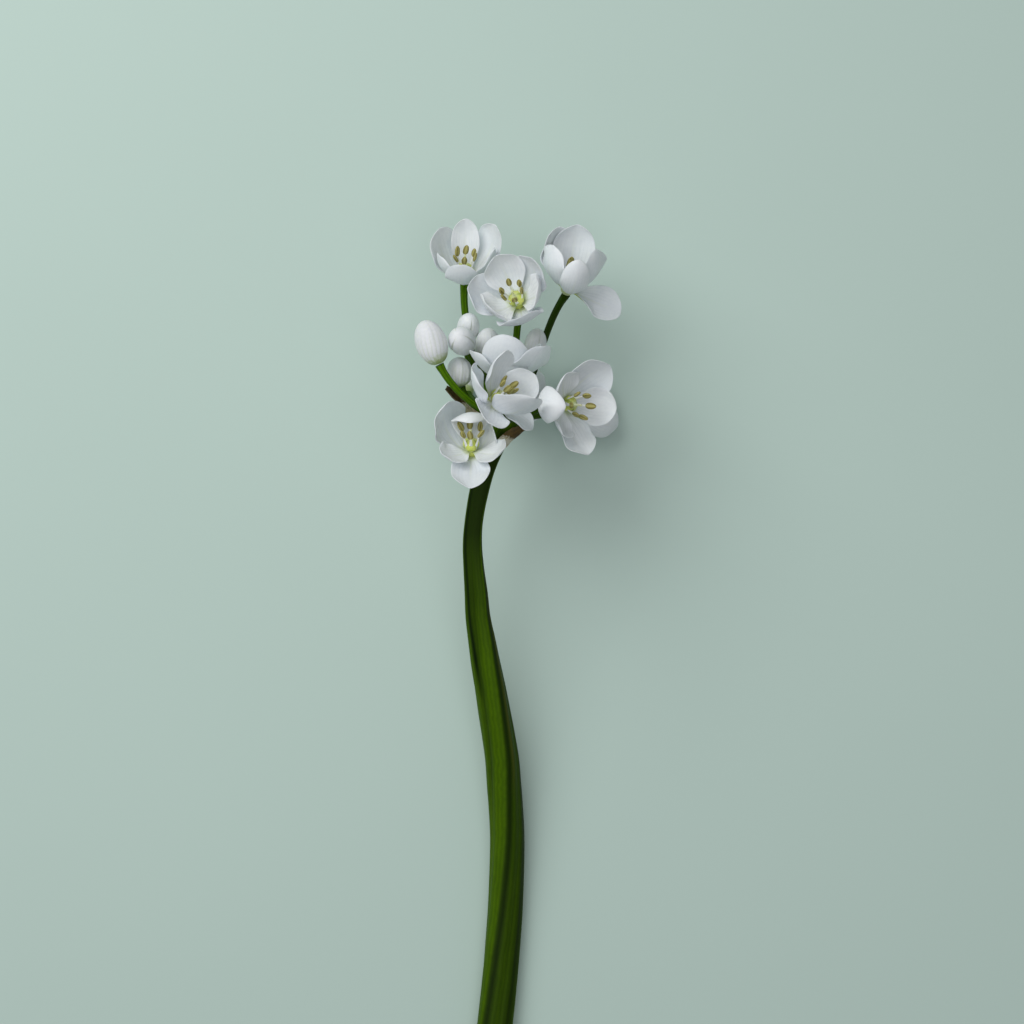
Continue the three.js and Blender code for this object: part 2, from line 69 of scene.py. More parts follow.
# Each is [place along the crown's axis, radius], then for the scape [place from the crown, half width].
CROWN_OUTLINE = [[2.68, 0.25], [2.35, 1.35], [1.5, 2.2], [0.5, 2.62], [-0.6, 2.6], [-1.9, 2.25], [-3.2, 1.98]]
SCAPE_STATIONS = [
    [-3.9, -8.4, -2.6, 1.9], [-5.5, -13.8, -3.6, 1.9], [-6.6, -20.0, -4.8, 1.8], [-6.9, -24.9, -5.8, 1.9],
    [-6.6, -29.8, -6.8, 2.05], [-6.1, -34.7, -7.9, 2.3], [-5.7, -39.6, -9.1, 2.5],
    [-4.9, -44.5, -10.2, 2.75], [-4.1, -49.5, -11.4, 2.95], [-3.2, -54.5, -12.6, 3.1],
    [-2.4, -59.5, -13.8, 3.25], [-1.6, -64.5, -15.0, 3.35], [-0.9, -69.6, -16.2, 3.45],
    [-0.6, -74.7, -17.3, 3.5], [-0.3, -79.8, -18.2, 3.5], [-0.1, -87.4, -19.4, 3.5],
    [-0.6, -100.0, -20.7, 3.55], [-1.4, -110.1, -21.2, 3.6], [-2.3, -120.2, -21.4, 3.6],
    [-3.4, -130.6, -21.4, 3.6], [-4.8, -143.1, -21.4, 3.6], [-6.6, -158.0, -21.4, 3.65],
]
SCAPE_HEIGHT_RATIO = 0.8
# The three ridges, the grooves between them and the fine ribs: [how many, rise as a share of the radius].
SCAPE_RELIEF = [[3, 0.1], [9, 0.014], [45, 0.003]]
SCAPE_RELIEF_STARTS = -2
SCAPE_RELIEF_GROWS = 3
SCAPE_FIRST_TURN = math.radians(20.8)
SCAPE_TWIST_PER_MM = math.radians(0.885)
# Furrows down the scape, shallow grooves darkened with painted shade, and one brownish streak. The
# last furrow keeps its side as the scape turns. Each is [its angle at the crown, its
# turn in degrees a millimetre, half width, strength, first and last millimetre below the crown].
SCAPE_SHADED_FURROWS = [
    [80.8, 0.885, 17, 0.5, 26, 82], [4.8, 0.885, 10, 0.8, 26, 170], [-72, 0.885, 16, 0.7, 4, 170],
    [143, 0, 12, 0.95, 4, 58],
]
SCAPE_BROWN_STREAK = [-11.2, 0.885, 8, 0.5, 24, 78]
SCAPE_FURROW_DEPTH = 0.03
SCAPE_FURROW_ENDS = 10
# Sides of the scape darkened with painted shade, as degrees from the first ridge: [start, soft
# over, end, soft over]. The first is darkened all along, the second only on the upper part under the flowers.
SCAPE_PAINTED_SHADE_SIDE = [-120, 12, 2, 8]
SCAPE_PAINTED_SHADE_SHARE = 0.5
SCAPE_NECK_SHADE_SIDE = [0, 6, 118, 8]
SCAPE_NECK_SHADE_ENDS = 48
SCAPE_NECK_SHADE_SOFT = 26
SCAPE_RINGS = 360
SCAPE_SIDES = 132
SCAPE_LINES_LENGTH = 20
CUT_LINES_START = 20.5
# The clean cut, which dishes in a little: [share of the way to its middle, depth].
SCAPE_CUT = [[0.12, 0.02], [0.5, 0.14], [0.93, 0.35]]


def from_crown(place):
    return CROWN + np.array(place, float)


def unit(vector):
    return vector / np.linalg.norm(vector)


def circle(sides):
    return np.linspace(0, 2 * math.pi, sides, endpoint=False)


def ring_of(centre, across, beside, reach, angles):
    """Points round a centre at the given angles, at a reach that may differ from one to another."""
    return centre + np.outer(reach * np.cos(angles), across) + np.outer(reach * np.sin(angles), beside)


def blend_stations(stations, count):
    """Rows of numbers that pass smoothly through the given ones, as a Catmull-Rom spline."""
    rows = np.array(stations, float)
    padded = np.vstack([2 * rows[0] - rows[1], rows, 2 * rows[-1] - rows[-2]])
    place = np.linspace(0, len(rows) - 1, count)
    start = np.minimum(place.astype(int), len(rows) - 2)
    share = (place - start)[:, None]
    before, here, after, beyond = (padded[start + step] for step in range(4))
    return 0.5 * (
        2 * here
        + (after - before) * share
        + (2 * before - 5 * here + 4 * after - beyond) * share**2
        + (3 * here - before - 3 * after + beyond) * share**3
    )


def closed_skin(rings):
    """Quads between rings of points, each closed on itself, and a face over each end."""
    faces = []
    sides = len(rings[0])
    last = (len(rings) - 1) * sides
    for first in range(0, last, sides):
        for side in range(sides):
            a, b = first + side, first + (side + 1) % sides
            faces.append((a, b, b + sides, a + sides))
    return [*faces, tuple(range(sides - 1, -1, -1)), tuple(range(last, last + sides))]


def new_object(name, data):
    made = bpy.data.objects.new(name, data)
    bpy.context.scene.collection.objects.link(made)
    return made


def mesh_piece(name, points, faces, material, attributes=None):
    """A smooth mesh object, from points in millimetres and numbers kept at each of them."""
    mesh = bpy.data.meshes.new(name)
    mesh.from_pydata((np.reshape(points, (-1, 3)) * MM).tolist(), [], faces)
    for key, values in (attributes or {}).items():
        attribute = mesh.attributes.new(key, "FLOAT", "POINT")
        attribute.data.foreach_set("value", np.ravel(values).astype(np.float32))
    mesh.polygons.foreach_set("use_smooth", [True] * len(mesh.polygons))
    mesh.materials.append(material)
    mesh.update()
    return new_object(name, mesh)


def colour(red, green, blue):
    """A colour as a shader takes it, from the eye's scale of 0 to 255."""
    scaled = (value / 255 for value in (red, green, blue))
    return (*(v / 12.92 if v <= 0.04045 else ((v + 0.055) / 1.055) ** 2.4 for v in scaled), 1)


def add_node(tree, kind, inputs=None, **settings):
    """Adds a node. Each of its inputs is given a value or is joined to another node's socket."""
    made = tree.nodes.new(kind)
    for key, value in settings.items():
        setattr(made, key, value)
    for key, value in (inputs or {}).items():
        if isinstance(value, bpy.types.NodeSocket):
            tree.links.new(value, made.inputs[key])
        else:
            made.inputs[key].default_value = value
    return made


def new_tree(name, kind, inputs, output):
    """A group of nodes with named inputs of the given kinds, and the sockets at its two ends."""
    tree = bpy.data.node_groups.new(name, kind + "NodeTree")
    for in_out, sockets in (("INPUT", inputs), ("OUTPUT", output)):
        for socket, sort in sockets.items():
            tree.interface.new_socket(socket, in_out=in_out, socket_type="NodeSocket" + sort)
    start = tree.nodes.new("NodeGroupInput")
    end = tree.nodes.new("NodeGroupOutput")
    return tree, start.outputs, end.inputs


def read_attribute(tree, name):
    return add_node(tree, "ShaderNodeAttribute", attribute_name=name).outputs["Fac"]


def maths(tree, operation, first, second=0.0, third=0.0):
    inputs = {0: first, 1: second, 2: third}
    return add_node(tree, "ShaderNodeMath", inputs, operation=operation).outputs[0]


def times(tree, first, second, added=0.0):
    """The product of two values, with a third added to it."""
    return maths(tree, "MULTIPLY_ADD", first, second, added)


def ramp(tree, value, low, high, start=0.0, end=1.0):
    """Turns a value between low and high smoothly into one between start and end."""
    inputs = {"Value": value, "From Min": low, "From Max": high, "To Min": start, "To Max": end}
    return add_node(tree, "ShaderNodeMapRange", inputs, interpolation_type="SMOOTHSTEP").outputs[0]


def mix(tree, share, *colours):
    """Mixes two colours, each the output of a node or three numbers on the eye's scale."""
    first, second = (colour(*given) if isinstance(given, tuple) else given for given in colours)
    inputs = {0: share, 6: first, 7: second}
    return add_node(tree, "ShaderNodeMix", inputs, data_type="RGBA").outputs[2]


def make_mottle_group():
    """Soft uneven patches with finer ones in them, as on any living surface."""
    group, given, result = new_tree(
        "uneven_patches", "Shader", {"Vector": "Vector", "Scale": "Float"}, {"Patches": "Float"}
    )
    both = 0.0
    for finer, detail, share in ((1.0, 4.0, 0.6), (5.3, 3.0, 0.4)):
        scale = times(group, given["Scale"], finer)
        inputs = {"Vector": given["Vector"], "Scale": scale, "Detail": detail}
        patches = add_node(group, "ShaderNodeTexNoise", inputs)
        both = times(group, patches.outputs["Fac"], share, both)
    group.links.new(ramp(group, both, 0.36, 0.64), result["Patches"])
    return group


def make_lines_group():
    """Fine lines that run lengthwise and waver a little: ribs of a stem or veins of a petal."""
    names = ("Across", "Along", "Count", "Waver", "Thinness")
    group, given, result = new_tree(
        "lengthwise_lines", "Shader", {name: "Float" for name in names}, {"Lines": "Float"}
    )
    stretched = {"X": times(group, given["Across"], 5.0), "Y": times(group, given["Along"], 3.0)}
    place = add_node(group, "ShaderNodeCombineXYZ", stretched).outputs[0]
    drift = add_node(group, "ShaderNodeTexNoise", {"Vector": place, "Scale": 1.0, "Detail": 2.0})
    shift = maths(group, "SUBTRACT", drift.outputs["Fac"], 0.5)
    turns = times(group, times(group, shift, given["Waver"], given["Across"]), given["Count"])
    even = times(group, maths(group, "COSINE", times(group, turns, 2 * math.pi)), 0.5, 0.5)
    group.links.new(maths(group, "POWER", even, given["Thinness"]), result["Lines"])
    return group


mottle = make_mottle_group()
lines = make_lines_group()


def patches_of(tree, scale):
    place = add_node(tree, "ShaderNodeTexCoord").outputs["Object"]
    inputs = {"Vector": place, "Scale": scale}
    return add_node(tree, "ShaderNodeGroup", inputs, node_tree=mottle).outputs["Patches"]


def lines_of(tree, across, along, count, waver, thinness):
    inputs = {"Across": across, "Along": along, "Count": count, "Waver": waver, "Thinness": thinness}
    return add_node(tree, "ShaderNodeGroup", inputs, node_tree=lines).outputs["Lines"]


def soft(weight, radius, depth):
    """A shader's settings for light that goes a little way in and comes out beside it."""
    return {"Subsurface Weight": weight, "Subsurface Radius": radius, "Subsurface Scale": depth * MM}


def bump_of(tree, strength, depth, height):
    inputs = {"Strength": strength, "Distance": depth * MM, "Height": height}
    return add_node(tree, "ShaderNodeBump", inputs).outputs["Normal"]


def new_material(name):
    material = bpy.data.materials.new(name)
    material.use_nodes = True
    material.node_tree.nodes.clear()
    return material, material.node_tree


def finish_material(material, values):
    """Ends a material in one Principled shader, whose even values are set on it directly."""
    shader = add_node(material.node_tree, "ShaderNodeBsdfPrincipled", values)
    add_node(material.node_tree, "ShaderNodeOutputMaterial", {"Surface": shader.outputs["BSDF"]})
    return material


def green_material(name, light, dark, groove_shade, deep, brown=(84, 78, 34)):
    """Living green tissue with paler and deeper lengthwise streaks, painted shade in its grooves, and a
    deeper green laid on where an attribute says, which on the scape is painted shade.
    """
    material, tree = new_material(name)
    around = read_attribute(tree, "around")
    along = read_attribute(tree, "along")
    patches = patches_of(tree, 180.0)
    wide = lines_of(tree, around, along, 11.0, 0.12, 1.2)
    narrow = lines_of(tree, around, along, 47.0, 0.05, 1.0)
    streaks = times(tree, narrow, 0.35, times(tree, wide, 0.4))
    body = mix(tree, times(tree, patches, 0.25, streaks), dark, light)
    # The deeper green laid on here is painted shade on the scape and a stalk's own darker green.
    deepened_and_shaded = mix(tree, read_attribute(tree, "deep"), body, deep)
    browned = mix(tree, read_attribute(tree, "brown"), deepened_and_shaded, brown)
    return finish_material(material, {
        # Painted shade in the grooves.
        "Base Color": mix(tree, read_attribute(tree, "hollow"), browned, groove_shade),
        "Roughness": 0.5,
        "Specular IOR Level": 0.07,
        **soft(0.08, (0.4, 1.0, 0.1), 0.4),
        "Normal": bump_of(tree, 0.25, 0.04, times(tree, patches, 0.3, narrow)),
    })


def stripe(angles, fall, row):
    """How strong a stripe is at each angle round the scape, at a distance below its crown."""
    first, turn, half_width, strength, start, end = row
    away = (angles - math.radians(first + turn * fall) + math.pi) % (2 * math.pi) - math.pi
    ends = np.clip(min(fall - start, end - fall) / SCAPE_FURROW_ENDS, 0, 1)
    return strength * ends * np.exp(-((away / math.radians(half_width)) ** 2))


def between(value, start, start_soft, end, end_soft):
    return np.clip((value - start) / start_soft, 0, 1) * np.clip((end - value) / end_soft, 0, 1)


def make_scape():
    axis = unit(-np.array(SCAPE_STATIONS[0][:3]))
    stations = [[*(CROWN + axis * rise), radius, 1.0] for rise, radius in CROWN_OUTLINE]
    stations += [[*from_crown(row[:3]), row[3], SCAPE_HEIGHT_RATIO] for row in SCAPE_STATIONS]
    rows = blend_stations(stations, SCAPE_RINGS)
    centres = rows[:, :3]
    angles = circle(SCAPE_SIDES)
    rings = []
    columns = {key: [] for key in ("around", "along", "hollow", "deep", "brown")}
    for ring, (centre, way) in enumerate(zip(centres, np.gradient(centres, axis=0))):
        tangent = -unit(way)
        across = unit(np.array([1.0, 0, 0]) - tangent * tangent[0])
        up = np.cross(across, tangent) * rows[ring, 4]
        share = ring / (SCAPE_RINGS - 1)
        past_crown = share * (len(stations) - 1) - len(CROWN_OUTLINE) + 1
        ribs = np.clip((past_crown - SCAPE_RELIEF_STARTS) / SCAPE_RELIEF_GROWS, 0, 1)
        fall = CROWN[1] - centre[1]
        turned = angles - SCAPE_FIRST_TURN - SCAPE_TWIST_PER_MM * fall
        shaded_furrows = sum(stripe(angles, fall, row) for row in SCAPE_SHADED_FURROWS)
        relief = sum(rise * np.cos(count * turned) for count, rise in SCAPE_RELIEF)
        reach = rows[ring, 3] * (1 + ribs * (relief - SCAPE_FURROW_DEPTH * shaded_furrows))
        rings.append(ring_of(centre, across, up, reach, angles))
        side = np.degrees((turned + math.pi) % (2 * math.pi) - math.pi)
        # Painted shade: one side darkened all along the scape, another only high up under the flowers.
        neck_shade = np.clip((SCAPE_NECK_SHADE_ENDS - fall) / SCAPE_NECK_SHADE_SOFT, 0, 1)
        deep = SCAPE_PAINTED_SHADE_SHARE * between(side, *SCAPE_PAINTED_SHADE_SIDE) + neck_shade * between(side, *SCAPE_NECK_SHADE_SIDE)
        columns["around"].append(np.abs(((turned / (2 * math.pi)) % 1) * 2 - 1))
        columns["along"].append(np.full(SCAPE_SIDES, share * SCAPE_LINES_LENGTH))
        # Painted shade in the furrows.
        columns["hollow"].append(ribs * np.clip(shaded_furrows, 0, 1))
        columns["deep"].append(ribs * deep)
        columns["brown"].append(ribs * stripe(angles, fall, SCAPE_BROWN_STREAK))
    rim = rings[-1]
    end = unit(centres[-1] - centres[-2])
    for inset, dish in SCAPE_CUT:
        rings.append(rim + (rim.mean(axis=0) - rim) * inset - end * dish)
        for key, column in columns.items():
            column.append(column[-1] if key == "around" else np.zeros(SCAPE_SIDES))
        columns["along"][-1] += CUT_LINES_START + inset
    rings = np.array(rings)
    rings[..., 2] = np.maximum(rings[..., 2], 0.0)
    scape = mesh_piece("scape_stem", rings, closed_skin(rings), scape_green, columns)
    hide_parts("scape")
    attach(scape, "root")


# The groove colour is painted shade in the furrows, and the deep colour painted shade on the shaded sides.
scape_green = green_material("scape_green", (74, 106, 3), (54, 82, 2), (12, 28, 1), (28, 46, 2))
make_scape()


# The spathe
# The papery sheath that wrapped the whole umbel in bud. It has split into two dry membranes,
# which still hang from the neck below the crown: pale and see-through looking, with brown veins
# and a brown shrivelled tip.
VALVE_ROWS = 64
VALVE_COLUMNS = 34
VALVE_THICKNESS = 0.16
VALVE_STANDS_OFF = 0.2
VALVE_LEAST_HALF_WIDTH = 0.3
VALVE_CRUMPLE = 0.22
VALVE_RAGGED = 0.16
VALVE_PLEAT = 0.35
VALVE_PLEATS = 13
# The way each faces, where along it the brown starts, and its rows: [place from the crown, half
# width, bend in degrees].
VALVES = {
    "left": ([0.75, 0.45, 0.5], 0.45, [
        [-5.3, -5.7, -2.7, 2.4, 60], [-5.4, -2.6, -2.4, 2.8, 48], [-6.5, 0.4, -2.0, 2.8, 34],
        [-8.4, 3.0, -1.8, 2.4, 30], [-10.3, 5.0, -1.5, 1.6, 34], [-12.0, 6.6, -0.9, 0.5, 20]]),
    "right": ([-0.5, 0.35, -0.7], 0.12, [
        [-1.0, -5.3, 0.4, 1.6, 55], [0.2, -3.8, 1.5, 1.5, 50], [1.4, -2.8, 2.1, 1.2, 44],
        [2.4, -2.0, 2.1, 0.9, 36], [3.2, -1.3, 1.8, 0.7, 30], [3.8, -0.7, 1.4, 0.4, 20]]),
}
RIM_ROUNDING = 0.35


def two_faced(inner, normals, thickness):
    """Closes a curved grid of points into a thin solid blade with a rounded rim.

    Returns its points and faces, and for each point its row, its column and whether it is on
    the inner face."""
    rows, columns = inner.shape[:2]
    count = rows * columns
    index = np.arange(count).reshape(rows, columns)
    inner, normals, thickness = inner.reshape(-1, 3), normals.reshape(-1, 3), thickness.reshape(-1, 1)
    outer = inner - normals * thickness
    faces = []
    for row in range(rows - 1):
        for column in range(columns - 1):
            a, b = index[row, column], index[row, column + 1]
            c, d = index[row + 1, column + 1], index[row + 1, column]
            faces += [(a, b, c, d), (a + count, d + count, c + count, b + count)]
    border = np.array([*index[0, :-1], *index[:-1, -1], *index[-1, :0:-1], *index[:0:-1, 0]])
    halfway = (inner[border] + outer[border]) / 2
    outward = halfway - inner.mean(axis=0)
    outward -= normals[border] * (outward * normals[border]).sum(axis=1, keepdims=True)
    outward /= np.linalg.norm(outward, axis=1, keepdims=True)
    rim = halfway + outward * thickness[border] * RIM_ROUNDING
    for step, place in enumerate(border):
        following = (step + 1) % len(border)
        after = border[following]
        here, there = 2 * count + step, 2 * count + following
        faces += [(after, place, here, there), (there, here, place + count, after + count)]
    places = np.concatenate([np.arange(count), np.arange(count), border])
    along = places // columns / (rows - 1)
    across = places % columns / (columns - 1)
    inside = np.repeat([1.0, 0.0, 0.5], [count, count, len(border)])
    return np.vstack([inner, outer, rim]), faces, along, across, inside


def curled_row(centre, side, inward, curl, angles, lift):
    """A row of points on a curve of the radius curl, each lifted off it by a little."""
    return (
        centre
        + np.outer(curl * np.sin(angles), side)
        + np.outer(curl * (1 - np.cos(angles)) + lift, inward)
    )


def ups_and_downs(places):
    """Soft ups and downs, one for each place in a field of them."""
    return np.array([noise.noise(Vector(place)) for place in places])


def grid_normals(grid):
    """The directions square to a curved grid of points, to the side its sheet curls towards."""
    normals = np.cross(np.gradient(grid, axis=1), np.gradient(grid, axis=0))
    return normals / np.maximum(np.linalg.norm(normals, axis=2, keepdims=True), 1e-12)


def roughened(tree, patches, amount, value):
    """Moves a value up and down with the patches, so that what ends at it has an uneven edge."""
    return times(tree, maths(tree, "SUBTRACT", patches, 0.5), amount, value)


material, tree = new_material("spathe_membrane")
patches = patches_of(tree, 420.0)
veins = lines_of(tree, read_attribute(tree, "across"), read_attribute(tree, "along"), 13.0, 0.1, 5.0)
pale = mix(tree, patches, (226, 222, 206), (196, 190, 164))
veined = mix(tree, times(tree, veins, 0.55), pale, (134, 108, 66))
browned = roughened(tree, patches, 0.35, read_attribute(tree, "dryness"))
brown = mix(tree, patches, (58, 46, 20), (90, 72, 34))
spathe_membrane = finish_material(material, {
    "Base Color": mix(tree, ramp(tree, browned, 0.35, 0.7), veined, brown),
    "Roughness": ramp(tree, patches, 0.0, 1.0, 0.5, 0.8),
    "Specular IOR Level": 0.3,
    **soft(0.4, (1.0, 0.85, 0.6), 0.5),
    "Normal": bump_of(tree, 0.5, 0.06, maths(tree, "ADD", veins, patches)),
})


def make_valve(name, facing, dry_from, stations):
    """A membrane whose rows curl round the neck, crumpled, with a ragged shrivelled edge."""
    stations = [[*from_crown(row[:3]), row[3], math.radians(row[4])] for row in stations]
    rows = blend_stations(stations, VALVE_ROWS)
    grid = np.zeros((VALVE_ROWS, VALVE_COLUMNS, 3))
    across = np.linspace(-1, 1, VALVE_COLUMNS)
    seed = len(name)
    for row, way in enumerate(np.gradient(rows[:, :3], axis=0)):
        tangent = unit(way)
        inward = unit(np.array(facing) - tangent * np.dot(facing, tangent))
        half, bend = max(rows[row, 3], VALVE_LEAST_HALF_WIDTH), rows[row, 4]
        share = row / (VALVE_ROWS - 1)
        ragged = 1 + VALVE_RAGGED * share * noise.noise(Vector((share * 14, seed, 0.5)))
        crease = ups_and_downs([(reach * 2.6, share * 5, seed * 3.1) for reach in across])
        pleat = VALVE_PLEAT * np.sin(across * VALVE_PLEATS + 3 * share) * np.abs(across)
        lift = (crease + pleat) * VALVE_CRUMPLE * (0.3 + share)
        side, curl = np.cross(tangent, inward), half * ragged / bend
        grid[row] = curled_row(rows[row, :3], side, inward, curl, across * bend, lift)
    normals = grid_normals(grid)
    thickness = np.full((VALVE_ROWS, VALVE_COLUMNS), VALVE_THICKNESS)
    points, faces, along, across, inside = two_faced(grid - normals * VALVE_STANDS_OFF, normals, thickness)
    dryness = np.clip((along - dry_from) * 3 + (np.abs(across - 0.5) * 2) ** 3 * 0.4, 0, 1)
    attributes = {"across": across, "along": along, "dryness": dryness}
    valve = mesh_piece(f"spathe_valve_{name}", points, faces, spathe_membrane, attributes)
    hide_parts(f"spathe_{name}")
    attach(valve, "root")


for name, valve in VALVES.items():
    make_valve(name, *valve)


# The flower stalks and bud stalks
# Slim green stalks that all grow out of the crown, one to each flower or bud, and thicken a
# little towards its base. Each leaves the crown square to it and bends into its flower's line.
GAP = 0.3
STALK_LEAVES = 0.3
STALK_ARRIVES = 0.36
STALK_FOLLOWS_FLOWER = 0.75
STALK_ROOT_RADIUS = 0.5
STALK_TAPER = 0.8
STALK_ROOT_SINKS = 0.7
STALK_COLLAR = 0.22
STALK_TIP_COLLAR_SHARE = 0.6
STALK_RIBS = 6
STALK_RIB_RISE = 0.035
STALK_LINES_LENGTH = 4.0
STALK_POINTS = 56
STALK_SIDES = 40


def geometry_step(tree, kind, output, inputs=None, **settings):
    """Adds a geometry node and gives one of its outputs."""
    return add_node(tree, "GeometryNode" + kind, inputs, **settings).outputs[output]


def store(tree, geometry, name, value):
    inputs = {"Geometry": geometry, "Name": name, "Value": value}
    return geometry_step(tree, "StoreNamedAttribute", "Geometry", inputs, data_type="FLOAT", domain="POINT")


def end_tree(tree, given, result, geometry):
    """Turns copies into real geometry of the given material, and ends the tree with it."""
    whole = geometry_step(tree, "RealizeInstances", "Geometry", {"Geometry": geometry})
    inputs = {"Geometry": whole, "Material": given["Material"]}
    tree.links.new(geometry_step(tree, "SetMaterial", "Geometry", inputs), result["Geometry"])
    return tree


def run_tree(source, tree, values):
    """Runs a geometry node tree on an object with the given inputs, and returns a plain mesh."""
    modifier = source.modifiers.new(tree.name, "NODES")
    modifier.node_group = tree
    sockets = {item.name: item.identifier for item in tree.interface.items_tree if item.in_out == "INPUT"}
    for key, value in values.items():
        modifier[sockets[key]] = value
    bpy.context.view_layer.update()
    evaluated = source.evaluated_get(bpy.context.evaluated_depsgraph_get())
    mesh = bpy.data.meshes.new_from_object(evaluated)
    source.modifiers.remove(modifier)
    return mesh


def make_stalk_tree():
    """Sweeps a ribbed round section along a curve, with the radius growing from root to tip."""
    tree, given, result = new_tree("stalk", "Geometry", {
        "Geometry": "Geometry", "Root radius": "Float", "Tip radius": "Float", "Taper": "Float",
        "Collar": "Float", "Shade": "Float", "Points": "Int", "Sides": "Int", "Material": "Material",
    }, {"Geometry": "Geometry"})
    share = geometry_step(tree, "SplineParameter", "Factor")
    inputs = {"Curve": given["Geometry"], "Count": given["Points"]}
    line = geometry_step(tree, "ResampleCurve", "Curve", inputs)
    line = store(tree, line, "along", times(tree, share, STALK_LINES_LENGTH))
    growth = maths(tree, "SUBTRACT", given["Tip radius"], given["Root radius"])
    grown = maths(tree, "POWER", share, given["Taper"])
    radius = times(tree, growth, grown, given["Root radius"])
    at_root = ramp(tree, share, 0.0, 0.12, 1.0, 0.0)
    at_tip = ramp(tree, share, 0.9, 1.0, 0.0, STALK_TIP_COLLAR_SHARE)
    flared = times(tree, maths(tree, "ADD", at_root, at_tip), given["Collar"], radius)
    inputs = {"Resolution": given["Sides"], "Radius": 1.0}
    profile = geometry_step(tree, "CurvePrimitiveCircle", "Curve", inputs, mode="RADIUS")
    profile = store(tree, profile, "around", geometry_step(tree, "SplineParameter", "Factor"))
    inputs = {"Curve": line, "Profile Curve": profile, "Scale": flared, "Fill Caps": True}
    swept = geometry_step(tree, "CurveToMesh", "Mesh", inputs)
    around = geometry_step(tree, "InputNamedAttribute", "Attribute", {"Name": "around"}, data_type="FLOAT")
    ribs = maths(tree, "COSINE", times(tree, around, STALK_RIBS * 2 * math.pi))
    # Painted shade in the grooves between the ribs.
    swept = store(tree, swept, "hollow", ramp(tree, ribs, -0.2, -1.0, 0.0, 0.55))
    swept = store(tree, swept, "deep", given["Shade"])
    normal = geometry_step(tree, "InputNormal", "Normal")
    inputs = {"Vector": normal, "Scale": times(tree, ribs, STALK_RIB_RISE * MM)}
    lift = add_node(tree, "ShaderNodeVectorMath", inputs, operation="SCALE").outputs["Vector"]
    ribbed = geometry_step(tree, "SetPosition", "Geometry", {"Geometry": swept, "Offset": lift})
    smooth = geometry_step(tree, "SetShadeSmooth", "Geometry", {"Geometry": ribbed})
    return end_tree(tree, given, result, smooth)


stalk_tree = make_stalk_tree()
# The groove colour is painted shade between the stalk's ribs.
stalk_green = green_material("stalk_green", (92, 132, 4), (60, 98, 3), (26, 50, 2), (20, 38, 3))


def make_stalk(name, node, root, end, along, tip_radius, shade, arrival=None):
    """root is the way out of the crown in degrees, right of the stem's line and above it, and
    shade is how dark a green the stalk is."""
    right, above = (math.radians(angle) for angle in root)
    level = math.cos(above)
    out = np.array([math.sin(right) * level, math.cos(right) * level, math.sin(above)])
    start = CROWN + out * (CROWN_RADIUS + GAP)
    reach = np.linalg.norm(end - start)
    straight = (end - start) / reach
    into = unit(np.array(arrival or straight + (along - straight) * STALK_FOLLOWS_FLOWER))
    data = bpy.data.curves.new(name, "CURVE")
    data.dimensions = "3D"
    data.resolution_u = STALK_POINTS
    spline = data.splines.new("BEZIER")
    spline.bezier_points.add(1)
    sunk = start - out * STALK_ROOT_SINKS
    ends = (
        (sunk - out, sunk, start + out * reach * STALK_LEAVES),
        (end - into * reach * STALK_ARRIVES, end + along * GAP, end + along),
    )
    for point, places in zip(spline.bezier_points, ends):
        point.handle_left_type = point.handle_right_type = "FREE"
        point.handle_left, point.co, point.handle_right = (Vector(place * MM) for place in places)
    source = new_object(name + "_line", data)
    mesh = run_tree(source, stalk_tree, {
        "Root radius": STALK_ROOT_RADIUS * MM,
        "Tip radius": tip_radius * MM,
        "Taper": STALK_TAPER,
        "Collar": STALK_COLLAR * MM,
        "Shade": shade,
        "Points": STALK_POINTS,
        "Sides": STALK_SIDES,
        "Material": stalk_green,
    })
    stalk = new_object(name, mesh)
    bpy.data.objects.remove(source)
    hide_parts(node)
    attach(stalk, "root")


# The open flowers' places and stalks
# Nine open flowers stand round the crown, each fixed to the end of its own green stalk and facing
# its own way. Their stalks are made here, and their other parts in the sections below.
FRONT = [0, 0, 1]
TOP = [0, 1, 0]
FLOWER_STALK_RADIUS = 0.72
STALK_END_GAP = 0.6
DISC_BOTTOM = -0.8
